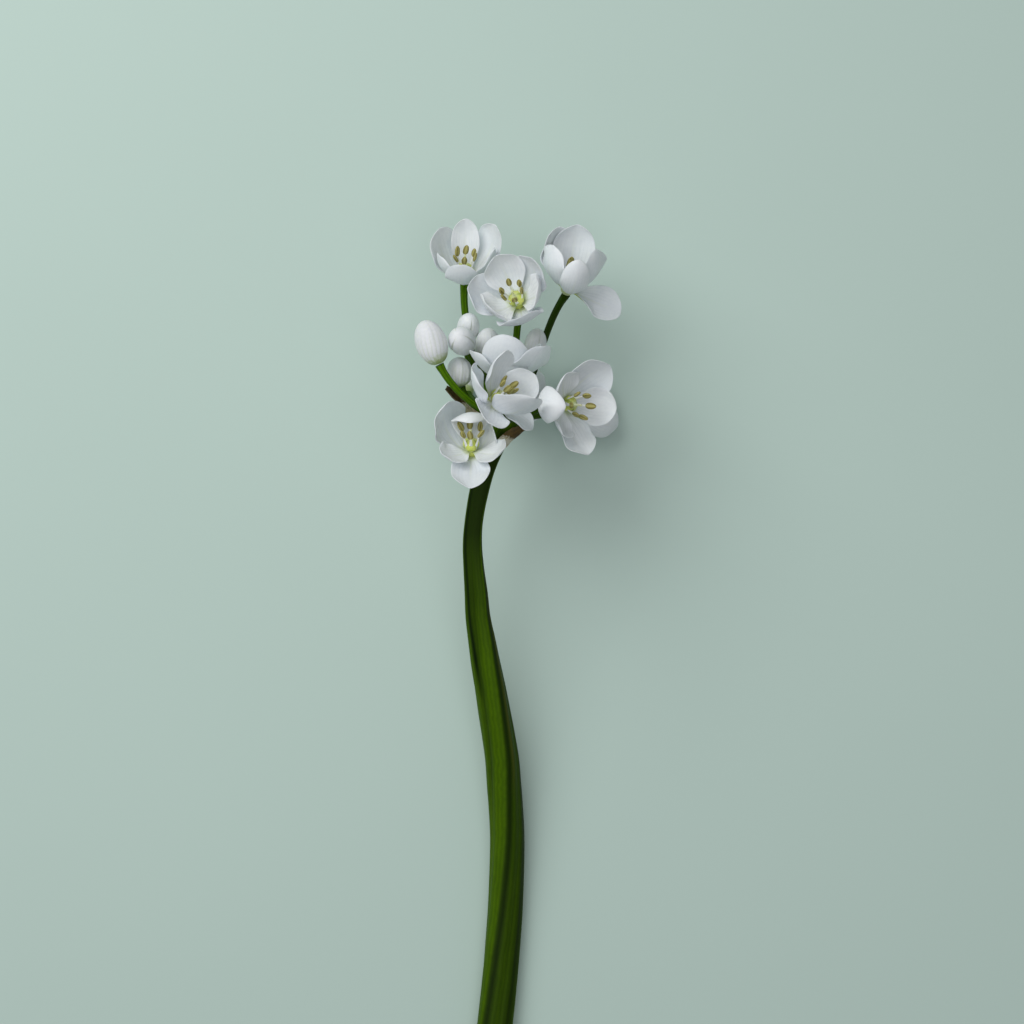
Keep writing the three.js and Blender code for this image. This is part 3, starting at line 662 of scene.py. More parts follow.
# base is where a flower's tepals meet, from the crown, axis is the way it faces, and first is the
# side from which its tepals' turns are counted. root is its stalk's way out of the crown, arrival
# its way into the flower and shade how dark a green it is. spread is how far the stamens lean out.
# Each tepal is [turn, length, lean at its root, at its middle, at its tip], and a lean of 0 is
# along the flower's axis. Some have two more numbers, their width as a share of the usual one and
# their roll about their own line.
FLOWERS = {
    "upper_left": {
        "base": [-8.5, 28.6, -2.0], "axis": [0.03, 0.8, 0.6], "first": FRONT, "root": [-32, -22],
        "arrival": [0.1, 0.86, 0.5], "spread": 16, "shade": 0.1,
        "tepals": [[-4, 9.6, 78, 42, -8, 0.94], [-56, 10, 80, 44, -8, 1.05], [-124, 11.7, 76, 30, -18, 1.2],
                   [182, 12.4, 66, 24, 0, 0.9], [127, 12.6, 72, 28, -8, 1.25], [72, 11, 78, 40, -10, 1.1]],
    },
    "centre": {
        "base": [2.3, 23.0, 5], "axis": [-0.25, 0.36, 0.9], "first": TOP, "root": [8, 2],
        "arrival": [0.1, 0.62, 0.78], "spread": 16, "shade": 0.3,
        "tepals": [[88, 10.8, 84, 54, 8, 1.25], [25, 11.6, 80, 44, 0, 1.3], [-36, 10.8, 78, 42, -10, 1.2],
                   [-90, 10.2, 80, 46, -14, 1.3], [-160, 10.8, 80, 46, -8, 1.3], [132, 11, 80, 44, -22, 1.3]],
    },
    "upper_right": {
        "base": [12.1, 26.2, 0], "axis": [0.17, 0.87, 0.46], "first": FRONT, "root": [42, -34],
        "arrival": [0.55, 0.66, 0.5], "spread": 0, "shade": 0.85,
        "tepals": [[10, 12, 80, 38, -28, 0.8], [-52, 12.8, 78, 28, -28, 1.4],
                   [-138, 13.2, 70, 22, -22, 1.25], [184, 14.4, 66, 20, -20, 1.35],
                   [98, 11.2, 108, 108, 96, 0.98, 44], [66, 13.6, 76, 28, -44, 1.5]],
    },
    "front": {
        "base": [-2.9, 2.6, 15.8], "axis": [0.6, 0.62, 0.5], "first": FRONT, "root": [90, 72],
        "arrival": [0, 0.25, 0.96], "spread": 6, "shade": 0.5,
        "tepals": [[48, 12.6, 66, 28, 2, 1.35], [104, 8.8, 96, 88, 76, 1.1], [162, 10.4, 76, 42, -4, 1.1],
                   [-104, 12.2, 66, 22, -12, 1.25], [-52, 9.8, 78, 56, 28, 1.25],
                   [12, 10.4, 88, 84, 70, 1.25]],
    },
    "right": {
        "base": [11.0, 2.9, 9.6], "axis": [0.66, -0.1, 0.74], "first": TOP, "root": [80, 34],
        "spread": 20, "shade": 0.6,
        "tepals": [[92, 14.5, 106, 58, -60, 1], [30, 8.2, 84, 62, 30, 1.15], [-36, 11.6, 84, 58, 16, 1.3],
                   [-92, 10.8, 84, 60, 30, 1.2], [-166, 11, 84, 62, 22, 1.1], [148, 9, 84, 60, 20]],
    },
    "lower_left": {
        "base": [-7.0, -6.9, 10.4], "axis": [0, 0.85, 0.53], "first": FRONT, "root": [-128, 46],
        "spread": 18, "shade": 0.5,
        "tepals": [[0, 11.4, 86, 98, 88, 1.05], [-44, 8.6, 86, 80, 40, 1, -20],
                   [-128, 12.8, 82, 38, -46, 1.4], [187, 15.2, 66, 4, -136, 1.15],
                   [126, 7.2, 74, 30, -20, 1.1], [52, 9.8, 86, 76, 26, 1.1, 20]],
    },
    "upper_middle": {
        "base": [0.2, 7.2, 4.5], "axis": [0.1, 0.96, 0.24], "first": FRONT, "root": [16, 24],
        "spread": 0, "shade": 0.6,
        "tepals": [[-10, 13.4, 68, 28, -6, 1.3], [-60, 11, 84, 54, 24, 1.3], [206, 9, 66, 12, -10, 0.9],
                   [154, 9, 66, 12, -10, 0.9], [100, 10, 68, 20, 0], [46, 13, 76, 36, 20, 1.5]],
    },
    "back_middle": {
        "base": [1.2, 5.4, -9.6], "axis": [0.06, 0.2, -0.97], "first": TOP, "root": [22, -60],
        "spread": 22, "shade": 0.6,
        "tepals": [[6 + 60 * place, 10.4 if place % 2 else 10.6, 78, 46, 2] for place in range(6)],
    },
    "back_right": {
        "base": [14.2, 2.6, -14.2], "axis": [0.36, 0.06, -0.93], "first": TOP, "root": [82, -30],
        "spread": 20, "shade": 0.6,
        "tepals": [[60 * place, 10.2 if place % 2 else 10.4, 78, 40, 0] for place in range(6)],
    },
}


def directions(axis, first):
    """A flower's or bud's axis, its first side, and the side a quarter turn on."""
    along = unit(np.array(axis, float))
    across = np.array(first, float)
    across = unit(across - along * across.dot(along))
    return along, across, np.cross(along, across)


for name, flower in FLOWERS.items():
    along = directions(flower["axis"], flower["first"])[0]
    end = from_crown(flower["base"]) + along * (DISC_BOTTOM - STALK_END_GAP)
    make_stalk(f"flower_stalk_{name}", f"stalk_{name}", flower["root"], end, along,
               FLOWER_STALK_RADIUS, flower["shade"], flower.get("arrival"))


# The tepals
# Six white satiny petals to a flower, in two whorls of three, soft and a little see-through.
# Each is cupped, with faint lengthwise veins, a shallow midrib and a rounded tip, and is
# yellow-green at its root, where all six grow out of a small green disc.
TEPAL_HALF_WIDTH = 3.95
TEPAL_ROOT_HALF_WIDTH = 0.7
TEPAL_WIDEST = 0.56
TEPAL_FLARE = 1.3
TEPAL_TIP_ROUNDING = 2.3
TEPAL_TIP_POINT = 0.5
TEPAL_PLAIN_ENDING = [1, 0]
TEPAL_ROOT_RADIUS = 0.8
TEPAL_BEND = 0.68
WHORL_OFFSET = 0.52
INNER_WHORL_WIDTH = 0.88
TEPAL_ROWS = 44
TEPAL_COLUMNS = 35
TEPAL_CLOSER_ROWS = 1.5
TEPAL_LINE_STEPS = 400
TEPAL_MIDDLE_THICKNESS = 0.34
TEPAL_ROOT_THICKNESS = 0.5
TEPAL_EDGE_THICKNESS = 0.13
TEPAL_WAVE = 0.34
TEPAL_WAVES_ALONG = (1.3, 2.1)
TEPAL_WAVE_SIDE_SHIFT = 2.1
TEPAL_EDGE_CURL = (-0.35, 0.25)
TEPAL_TONES = (0.0, 0.5)
TEPAL_FIRST_SEED = 40
TEPAL_VEINS = 9
VEIN_RELIEF = 0.014
MIDRIB_RELIEF = 0.07
MIDRIB_HALF_WIDTH = 0.09
TIP_NOTCH = 0.09875
TIP_NOTCH_STARTS = 0.9
DISC_RINGS = 22
DISC_SIDES = 36
DISC_PROFILE = [[0.72, -1.15], [0.95, -0.95], [1.3, -0.5], [1.42, 0.05], [1.36, 0.5], [1.0, 0.95],
                [0.5, 1.2], [0.05, 1.25]]

material, tree = new_material("tepal_white")
across = read_attribute(tree, "across")
along = read_attribute(tree, "along")
inside = read_attribute(tree, "inside")
patches = patches_of(tree, 260.0)
veins = lines_of(tree, across, along, 11.0, 0.06, 6.0)
fine = lines_of(tree, across, along, 43.0, 0.03, 1.5)
cooler = times(tree, patches, 0.4, read_attribute(tree, "tone"))
white = mix(tree, cooler, (236, 240, 242), (220, 226, 232))
marked = times(tree, veins, 0.3, times(tree, fine, 0.08))
fading = ramp(tree, along, 0.15, 0.95, 1.0, 0.1)
veined = mix(tree, times(tree, marked, fading), white, (197, 206, 214))
from_middle = maths(tree, "ABSOLUTE", maths(tree, "SUBTRACT", across, 0.5))
near_middle = ramp(tree, from_middle, 0.0, 0.06, 1.0, 0.0)
midrib = times(tree, near_middle, ramp(tree, along, 0.2, 0.9, 0.5, 0.0))
ribbed = mix(tree, midrib, veined, (214, 221, 205))
green_edge = roughened(tree, patches, 0.06, along)
throat = times(tree, ramp(tree, green_edge, 0.1, 0.3, 1.0, 0.0), inside)
stained = mix(tree, throat, ribbed, (188, 200, 96))
outside = maths(tree, "SUBTRACT", 1.0, inside)
foot = times(tree, ramp(tree, green_edge, 0.04, 0.2, 0.85, 0.0), outside)
ribs = times(tree, maths(tree, "ADD", veins, fine), ramp(tree, along, 0.8, 0.96, 1.0, 0.0))
tepal_white = finish_material(material, {
    "Base Color": mix(tree, foot, stained, (176, 190, 120)),
    "Roughness": ramp(tree, patches, 0.0, 1.0, 0.46, 0.62),
    "Specular IOR Level": 0.4,
    **soft(0.35, (1.0, 1.0, 0.95), 0.7),
    "Sheen Weight": 0.12,
    "Sheen Roughness": 0.4,
    "Normal": bump_of(tree, 0.22, 0.03, times(tree, patches, 0.5, ribs)),
})


def tepal_half_width(share):
    root = TEPAL_ROOT_HALF_WIDTH / TEPAL_HALF_WIDTH
    rising = root + (1 - root) * np.sin(np.minimum(share / TEPAL_WIDEST, 1) * math.pi / 2) ** TEPAL_FLARE
    past = np.maximum(share - TEPAL_WIDEST, 0) / (1 - TEPAL_WIDEST)
    falling = np.maximum(1 - past**TEPAL_TIP_ROUNDING, 0.002) ** TEPAL_TIP_POINT
    return TEPAL_HALF_WIDTH * np.where(share < TEPAL_WIDEST, rising, falling)


def tepal_surface(base, ways, tepal, outer, draw):
    """The inner face of one tepal as a grid of points, and the thickness behind each."""
    along, across, beside = ways
    turn, length = math.radians(tepal[0]), tepal[1]
    root_lean, middle_lean, tip_lean = (math.radians(lean) for lean in tepal[2:5])
    wide, roll = [*tepal[5:], *TEPAL_PLAIN_ENDING[len(tepal) - 5:]]
    out = across * math.cos(turn) + beside * math.sin(turn)
    side = np.cross(along, out)
    share = 1 - (1 - np.linspace(0, 1, TEPAL_ROWS)) ** TEPAL_CLOSER_ROWS
    steps = np.linspace(0, 1, TEPAL_LINE_STEPS + 1)
    lean = (1 - steps) ** 2 * root_lean + 2 * steps * (1 - steps) * middle_lean + steps**2 * tip_lean
    middle = (lean[1:] + lean[:-1]) / 2
    reach, rise = (
        np.interp(share, steps, np.concatenate([[0], np.cumsum(part)]) * length / TEPAL_LINE_STEPS)
        for part in (np.sin(middle), np.cos(middle))
    )
    lean = np.interp(share, steps, lean)
    whorl = -WHORL_OFFSET if outer else WHORL_OFFSET
    widths = tepal_half_width(share) * wide * (1 if outer else INNER_WHORL_WIDTH)
    wave_phase, wave_count = draw.uniform(0, 2 * math.pi), draw.uniform(*TEPAL_WAVES_ALONG)
    seed = draw.uniform(0, 50)
    edge_curl = draw.uniform(*TEPAL_EDGE_CURL)
    columns = np.linspace(-1, 1, TEPAL_COLUMNS)
    grid = np.zeros((TEPAL_ROWS, TEPAL_COLUMNS, 3))
    edge = np.abs(columns)
    for row, here in enumerate(share):
        inward = along * math.sin(lean[row]) - out * math.cos(lean[row])
        tangent = along * math.cos(lean[row]) + out * math.sin(lean[row])
        centre = base + along * rise[row] + out * (TEPAL_ROOT_RADIUS + reach[row]) + inward * whorl
        tilt = math.radians(roll) * min(1, 2 * here)
        beneath = side * math.cos(tilt) + inward * math.sin(tilt)
        inward = inward * math.cos(tilt) - side * math.sin(tilt)
        shift = wave_phase + (columns > 0) * TEPAL_WAVE_SIDE_SHIFT
        ripple = np.sin(2 * math.pi * wave_count * here + shift)
        ripple += ups_and_downs([(seed, place * 1.3, here * 2.2) for place in columns])
        lift = TEPAL_WAVE * ripple * edge**2 * min(1, here * 3) + edge_curl * edge**4
        lift *= widths[row] / TEPAL_HALF_WIDTH
        lift -= MIDRIB_RELIEF * np.exp(-((columns / MIDRIB_HALF_WIDTH) ** 2)) * (1 - here**2)
        lift += VEIN_RELIEF * np.cos(TEPAL_VEINS * math.pi * columns) * (1 - here**3)
        bend = TEPAL_BEND * (1.2 - 0.3 * here)
        grid[row] = curled_row(centre, beneath, inward, widths[row] / bend, columns * bend, lift)
        past_notch = max(here - TIP_NOTCH_STARTS, 0) / (1 - TIP_NOTCH_STARTS)
        grid[row] -= np.outer(TIP_NOTCH * past_notch * (1 - edge) ** 4, tangent)
    edge = edge[None, :] ** 2.5
    body = TEPAL_MIDDLE_THICKNESS + (TEPAL_ROOT_THICKNESS - TEPAL_MIDDLE_THICKNESS) * np.exp(-share / 0.12)
    body = body * (1 - 0.45 * share**2)
    thickness = body[:, None] * (1 - edge) + TEPAL_EDGE_THICKNESS * edge
    return grid, thickness


def turned_rings(base, ways, profile, sides, relief=lambda angles, rise: 1.0):
    """Rings of points round a flower's axis, from pairs of radius and height."""
    along, across, beside = ways
    angles = circle(sides)
    return [
        ring_of(base + along * rise, across, beside, radius * relief(angles, rise), angles)
        for radius, rise in profile
    ]


def make_tepals(name, flower, draw):
    base = from_crown(flower["base"])
    ways = directions(flower["axis"], flower["first"])
    profile = blend_stations(DISC_PROFILE, DISC_RINGS)
    points = turned_rings(base, ways, profile, DISC_SIDES)
    faces = closed_skin(points)
    count = DISC_RINGS * DISC_SIDES
    columns = {
        "along": [np.zeros(count)],
        "across": [np.full(count, 0.3)],
        "inside": [np.repeat((profile[:, 1] > 0).astype(float), DISC_SIDES)],
        "tone": [np.zeros(count)],
    }
    for index, tepal in enumerate(flower["tepals"]):
        grid, thickness = tepal_surface(base, ways, tepal, index % 2 == 0, draw)
        blade, blade_faces, along, across, inside = two_faced(grid, grid_normals(grid), thickness)
        points.append(blade)
        faces += [tuple(int(corner) + count for corner in face) for face in blade_faces]
        count += len(blade)
        columns["along"].append(1 - (1 - along) ** TEPAL_CLOSER_ROWS)
        columns["across"].append(across)
        columns["inside"].append(inside)
        columns["tone"].append(np.full(len(blade), draw.uniform(*TEPAL_TONES)))
    attributes = {key: np.concatenate(parts) for key, parts in columns.items()}
    tepals = mesh_piece(f"tepals_of_{name}", np.vstack(points), faces, tepal_white, attributes)
    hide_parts(f"tepals_{name}")
    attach(tepals, "root")


for number, (name, flower) in enumerate(FLOWERS.items()):
    make_tepals(name, flower, np.random.default_rng(TEPAL_FIRST_SEED + number))


# The ovaries
# In the middle of each flower sits a plump yellow-green ovary of three double lobes, moist and
# shiny, with a slender pale style on it that ends in a tiny blunt stigma.
OVARY_PROFILE = [[0.9, 0.85], [1.25, 1.15], [1.52, 1.65], [1.55, 2.15], [1.35, 2.7], [0.95, 3.1],
                 [0.5, 3.3], [0.27, 3.45], [0.2, 3.9], [0.17, 4.6], [0.19, 5.0], [0.27, 5.15], [0.24, 5.3],
                 [0.08, 5.38]]
OVARY_LOBES = 3
OVARY_LOBE_RISE = 0.12
OVARY_FURROW_DEPTH = 0.1
OVARY_SIDES = 60
OVARY_RINGS = 60
OVARY_BOTTOM = 0.8
OVARY_TOP = 3.3

material, tree = new_material("ovary_green")
patches = patches_of(tree, 700.0)
skin = mix(tree, patches, (212, 220, 116), (192, 204, 88))
# Painted shade darkening the furrows between the lobes.
furrow_shade_and_split = times(tree, read_attribute(tree, "hollow"), 0.8)
furrow_shaded = mix(tree, furrow_shade_and_split, skin, (124, 152, 40))
style = mix(tree, patches, (226, 232, 196), (212, 220, 168))
ovary_green = finish_material(material, {
    "Base Color": mix(tree, ramp(tree, read_attribute(tree, "along"), 3.0, 3.6), furrow_shaded, style),
    "Roughness": 0.3,
    "Specular IOR Level": 0.5,
    "Coat Weight": 0.15,
    "Coat Roughness": 0.2,
    **soft(0.3, (0.8, 1.0, 0.3), 0.6),
    "Normal": bump_of(tree, 0.3, 0.03, patches),
})


def ovary_relief(angles, rise):
    if rise > OVARY_TOP:
        return 1.0
    wave = np.cos(OVARY_LOBES * angles)
    lobes = OVARY_LOBE_RISE * wave - OVARY_FURROW_DEPTH * np.abs(wave) ** 14
    share = (rise - OVARY_BOTTOM) / (OVARY_TOP - OVARY_BOTTOM)
    return 1 + lobes * math.sin(math.pi * share * 0.9 + 0.15)


def make_ovary(name, flower):
    profile = blend_stations(OVARY_PROFILE, OVARY_RINGS)
    ways = directions(flower["axis"], flower["first"])
    rings = turned_rings(from_crown(flower["base"]), ways, profile, OVARY_SIDES, ovary_relief)
    rises = np.repeat(profile[:, 1], OVARY_SIDES)
    # Where the furrows are darkened with painted shade.
    shaded_furrows = np.tile(np.clip(-np.cos(OVARY_LOBES * circle(OVARY_SIDES)), 0, 1) ** 4, OVARY_RINGS)
    attributes = {"along": rises, "hollow": np.where(rises < OVARY_TOP, shaded_furrows, 0)}
    ovary = mesh_piece(f"ovary_of_{name}", rings, closed_skin(rings), ovary_green, attributes)
    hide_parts(f"heart_{name}")
    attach(ovary, "root")


for name, flower in FLOWERS.items():
    make_ovary(name, flower)


# The stamens
# Round each ovary stand six stamens, one before each tepal. A white filament, broad and flat at
# its root and tapering to a thread, bears a plump olive anther of two sacs, which splits and
# sheds grains of yellow pollen.
FILAMENT_OUT = 1.05
FILAMENT_UP = 1.5
FILAMENT_LENGTH = 3.1
FILAMENT_ENTERS_ANTHER = 0.1
FILAMENT_BELOW = 1.35
FILAMENT_OUTLINE = [[0.0, 0.62, 0.2], [0.18, 0.6, 0.2], [0.45, 0.42, 0.17], [0.75, 0.27, 0.14],
                    [1.0, 0.15, 0.11]]
FILAMENT_RINGS = 18
FILAMENT_SIDES = 14
ANTHER_LENGTH = 2.2
ANTHER_OUTLINE = [[0.0, 0.1], [0.06, 0.36], [0.2, 0.56], [0.45, 0.64], [0.7, 0.56], [0.9, 0.36], [0.99, 0.1]]
ANTHER_DEPTH_SHARE = 0.66
ANTHER_WIDTH_SHARE = 1.04
ANTHER_FURROW = 0.22
ANTHER_SPLIT = 0.1
ANTHER_SPLIT_OUT = 0.95
ANTHER_SPLIT_HALF_WIDTH = 0.06
ANTHER_RINGS = 22
ANTHER_SIDES = 28
ANTHER_SITS_LOWER = 0.25
ANTHER_NOD = 0.22
ANTHER_SIZES = (0.88, 1.03)
GRAIN_RADIUS = 0.05
GRAIN_SIZES = (0.6, 1.35)
GRAINS_PER_SQUARE_MM = 4
STAMEN_FIRST_SEED = 70

material, tree = new_material("filament_white")
white = mix(tree, patches_of(tree, 500.0), (244, 245, 244), (230, 233, 228))
low = ramp(tree, read_attribute(tree, "along"), 0.0, 0.3, 0.8, 0.0)
filament_white = finish_material(material, {
    "Base Color": mix(tree, low, white, (204, 212, 130)),
    "Roughness": 0.45,
    **soft(0.35, (1.0, 1.0, 0.9), 0.5),
})

material, tree = new_material("anther_olive")
patches = patches_of(tree, 1500.0)
skin = mix(tree, patches, (128, 120, 62), (92, 88, 38))
furrow_shade_and_split = times(tree, read_attribute(tree, "hollow"), 0.75)
anther_olive = finish_material(material, {
    "Base Color": mix(tree, furrow_shade_and_split, skin, (204, 198, 124)),
    "Roughness": 0.75,
    "Specular IOR Level": 0.3,
    "Normal": bump_of(tree, 0.6, 0.05, patches),
})

material, tree = new_material("pollen_yellow")
yellow = mix(tree, patches_of(tree, 2600.0), (206, 192, 104), (176, 158, 70))
pollen_yellow = finish_material(material, {"Base Color": yellow, "Roughness": 0.85})


def model_filament():
    """One filament standing on the origin, one millimetre tall, its broad side facing X."""
    rows = blend_stations(FILAMENT_OUTLINE, FILAMENT_RINGS)
    angles = circle(FILAMENT_SIDES)
    rings = [
        ring_of([0, 0, height], [depth, 0, 0], [0, width, 0], 1, angles) for height, width, depth in rows
    ]
    attributes = {"along": np.repeat(rows[:, 0], FILAMENT_SIDES)}
    return mesh_piece("filament_model", rings, closed_skin(rings), filament_white, attributes)


def model_anther():
    """One anther standing on the origin: two sacs side by side, with a split down each."""
    angles = circle(ANTHER_SIDES)
    waist = np.abs(np.cos(angles)) ** 6
    from_split = np.abs(np.sin(angles)) - ANTHER_SPLIT_OUT
    splits = np.exp(-((from_split / ANTHER_SPLIT_HALF_WIDTH) ** 2))
    section = 1 - ANTHER_FURROW * waist - ANTHER_SPLIT * splits
    depth, width = [ANTHER_DEPTH_SHARE, 0, 0], [0, ANTHER_WIDTH_SHARE, 0]
    rings = [
        ring_of([0, 0, height * ANTHER_LENGTH], depth, width, radius * section, angles)
        for height, radius in blend_stations(ANTHER_OUTLINE, ANTHER_RINGS)
    ]
    attributes = {"hollow": np.tile(np.clip(waist + splits, 0, 1), ANTHER_RINGS)}
    return mesh_piece("anther_model", rings, closed_skin(rings), anther_olive, attributes)


def make_whorl_tree():
    """Sets a copy of a model at each point, turned and stretched as the point says."""
    tree, given, result = new_tree(
        "stamen_whorl", "Geometry", {"Geometry": "Geometry", "Model": "Object", "Material": "Material"},
        {"Geometry": "Geometry"},
    )
    model = geometry_step(tree, "ObjectInfo", "Geometry", {"Object": given["Model"]})
    turn, stretch = (
        geometry_step(tree, "InputNamedAttribute", "Attribute", {"Name": name}, data_type="FLOAT_VECTOR")
        for name in ("turn", "stretch")
    )
    rotation = add_node(tree, "FunctionNodeEulerToRotation", {"Euler": turn}).outputs["Rotation"]
    inputs = {"Points": given["Geometry"], "Instance": model, "Rotation": rotation, "Scale": stretch}
    copies = geometry_step(tree, "InstanceOnPoints", "Instances", inputs)
    return end_tree(tree, given, result, copies)


def make_pollen_tree():
    """Scatters small round grains over an anther's skin."""
    tree, given, result = new_tree("pollen", "Geometry", {
        "Geometry": "Geometry", "Grain radius": "Float", "Density": "Float", "Seed": "Int",
        "Material": "Material",
    }, {"Geometry": "Geometry"})
    inputs = {"Mesh": given["Geometry"], "Density": given["Density"], "Seed": given["Seed"]}
    spots = geometry_step(tree, "DistributePointsOnFaces", "Points", inputs, distribute_method="RANDOM")
    inputs = {"Radius": given["Grain radius"], "Subdivisions": 1}
    grain = geometry_step(tree, "MeshIcoSphere", "Mesh", inputs)
    inputs = {2: GRAIN_SIZES[0], 3: GRAIN_SIZES[1], "Seed": given["Seed"]}
    size = add_node(tree, "FunctionNodeRandomValue", inputs, data_type="FLOAT").outputs[1]
    inputs = {"Points": spots, "Instance": grain, "Scale": size}
    copies = geometry_step(tree, "InstanceOnPoints", "Instances", inputs)
    return end_tree(tree, given, result, copies)


def stand_whorl(name, model, material, copies):
    """Six copies of a model, each with its place, turn and stretch, as one plain piece."""
    places, turns, stretches = zip(*copies)
    mesh = bpy.data.meshes.new(name)
    mesh.from_pydata([tuple(place * MM) for place in places], [], [])
    for key, values in (("turn", turns), ("stretch", stretches)):
        attribute = mesh.attributes.new(key, "FLOAT_VECTOR", "POINT")
        attribute.data.foreach_set("vector", np.array(values, np.float32).ravel())
    points = new_object(name + "_points", mesh)
    whorl = new_object(name, run_tree(points, whorl_tree, {"Model": model, "Material": material}))
    bpy.data.objects.remove(points)
    return whorl


def turn_of(depth, width, height):
    """The Euler turn that carries X, Y and Z onto three directions square to each other."""
    return Matrix((depth, width, height)).transposed().to_euler()


def make_stamens(name, flower, draw):
    base = from_crown(flower["base"])
    along, across, beside = directions(flower["axis"], flower["first"])
    lean = math.radians(flower["spread"])
    filaments, anthers = [], []
    for tepal in flower["tepals"]:
        turn = math.radians(tepal[0])
        out = across * math.cos(turn) + beside * math.sin(turn)
        line = along * math.cos(lean) + out * math.sin(lean)
        knee = base + out * FILAMENT_OUT + along * FILAMENT_UP
        root = knee - line * FILAMENT_BELOW
        tip = knee + line * (FILAMENT_LENGTH + FILAMENT_ENTERS_ANTHER)
        depth = unit(np.cross(np.cross(line, out), line))
        width = np.cross(line, depth)
        filaments.append((root, turn_of(depth, width, line), (1, 1, np.linalg.norm(tip - root))))
        nod = draw.uniform(-ANTHER_NOD, ANTHER_NOD, 2)
        aim = unit(line + depth * nod[0] + width * nod[1])
        anther_depth = unit(depth - aim * depth.dot(aim))
        anther_turn = turn_of(anther_depth, np.cross(aim, anther_depth), aim)
        anthers.append((tip - aim * ANTHER_SITS_LOWER, anther_turn, (draw.uniform(*ANTHER_SIZES),) * 3))
    filaments = stand_whorl(f"filaments_of_{name}", filament_model, filament_white, filaments)
    anthers = stand_whorl(f"anthers_of_{name}", anther_model, anther_olive, anthers)
    pollen = new_object(f"pollen_of_{name}", run_tree(anthers, pollen_tree, {
        "Grain radius": GRAIN_RADIUS * MM,
        "Density": GRAINS_PER_SQUARE_MM / MM**2,
        "Seed": int(draw.integers(1, 999)),
        "Material": pollen_yellow,
    }))
    for piece in (filaments, anthers, pollen):
        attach(piece, "root")


filament_model = model_filament()
anther_model = model_anther()
whorl_tree = make_whorl_tree()
pollen_tree = make_pollen_tree()
for number, (name, flower) in enumerate(FLOWERS.items()):
    make_stamens(name, flower, np.random.default_rng(STAMEN_FIRST_SEED + number))
bpy.data.objects.remove(filament_model)
bpy.data.objects.remove(anther_model)


# The buds
# Eight closed buds, plump and egg-shaped, each fixed to the end of its own stalk. Three white outer
# tepals wrap each one, lapping over each other along slanting seams that meet at the tip, and are
# greenish at the foot and along the veins.
BUD_STALK_RADIUS = 0.75
BUD_OUTLINE = [[0.0, 0.3], [0.04, 0.5], [0.13, 0.72], [0.34, 0.97], [0.58, 0.98], [0.8, 0.79],
               [0.94, 0.46], [0.99, 0.18], [1.0, 0.02]]
BUD_TURN = math.radians(28)
BUD_SEAMS = 3
BUD_LAP = 0.05
BUD_SEAM_DEPTH = 0.07
BUD_SEAM_HALF_WIDTH = 0.035
BUD_MIDRIB_RISE = 0.018
BUD_MIDRIB_HALF_WIDTH = 0.06
BUD_FOLD = 0.022
BUD_RINGS = 70
BUD_SIDES = 108
# Each is [base, tip, half width, side its turns are counted from, root of its stalk, how marked its
# seams are, number of lengthwise folds, how dark a green its stalk is].
BUDS = {
    "left": [[-13.4, 10.9, 7], [-16.5, 19.2, 8.4], 3.15, FRONT, [-72, 34], 0.2, 0, 0.0],
    "inner_left": [[-8.1, 14.5, 1.9], [-9.7, 16.4, 9.2], 2.75, TOP, [-42, 20], 1, 0, 0.3],
    "high_left": [[-8.1, 16.4, -2.6], [-7.4, 20.9, 1.6], 2.3, FRONT, [-56, -22], 0.8, 0, 0.4],
    "low_left": [[-9.2, 6.9, 0.4], [-9.7, 12.4, 2.2], 2.6, FRONT, [-72, 6], 0.5, 11, 0.4],
    "inner_middle": [[-4.2, 11.2, -1.4], [-3.6, 18.4, 0.2], 2.6, FRONT, [-14, 14], 0.4, 0, 0.5],
    "inner_right": [[5.2, 11.6, -2.2], [6.2, 18.4, -0.6], 2.25, FRONT, [50, 12], 0.5, 0, 0.5],
    "inner_back": [[-5.4, 7.4, -7.1], [-6.0, 13.6, -8.2], 2.3, FRONT, [-40, -38], 0.8, 0, 0.6],
    "low_back": [[-8.2, 6.0, -16.8], [-10.4, 9.6, -23.4], 2.3, TOP, [-58, -60], 0.8, 0, 0.6],
}

material, tree = new_material("bud_white")
along = read_attribute(tree, "along")
patches = patches_of(tree, 330.0)
veins = lines_of(tree, read_attribute(tree, "around"), along, 21.0, 0.02, 4.0)
white = mix(tree, patches, (234, 236, 238), (224, 227, 230))
fading = ramp(tree, along, 0.1, 0.9, 0.36, 0.04)
veined = mix(tree, times(tree, veins, fading), white, (190, 201, 166))
# Painted shade along the seams, where the tepals lap over each other.
seam = times(tree, read_attribute(tree, "hollow"), 0.6)
seam_shaded = mix(tree, seam, veined, (176, 184, 158))
foot = ramp(tree, roughened(tree, patches, 0.1, along), 0.0, 0.24, 0.9, 0.0)
bud_white = finish_material(material, {
    "Base Color": mix(tree, foot, seam_shaded, (142, 164, 72)),
    "Roughness": ramp(tree, patches, 0.0, 1.0, 0.42, 0.58),
    "Specular IOR Level": 0.4,
    **soft(0.3, (1.0, 1.0, 0.8), 1.0),
    "Sheen Weight": 0.08,
    "Normal": bump_of(tree, 0.25, 0.04, maths(tree, "ADD", veins, patches)),
})


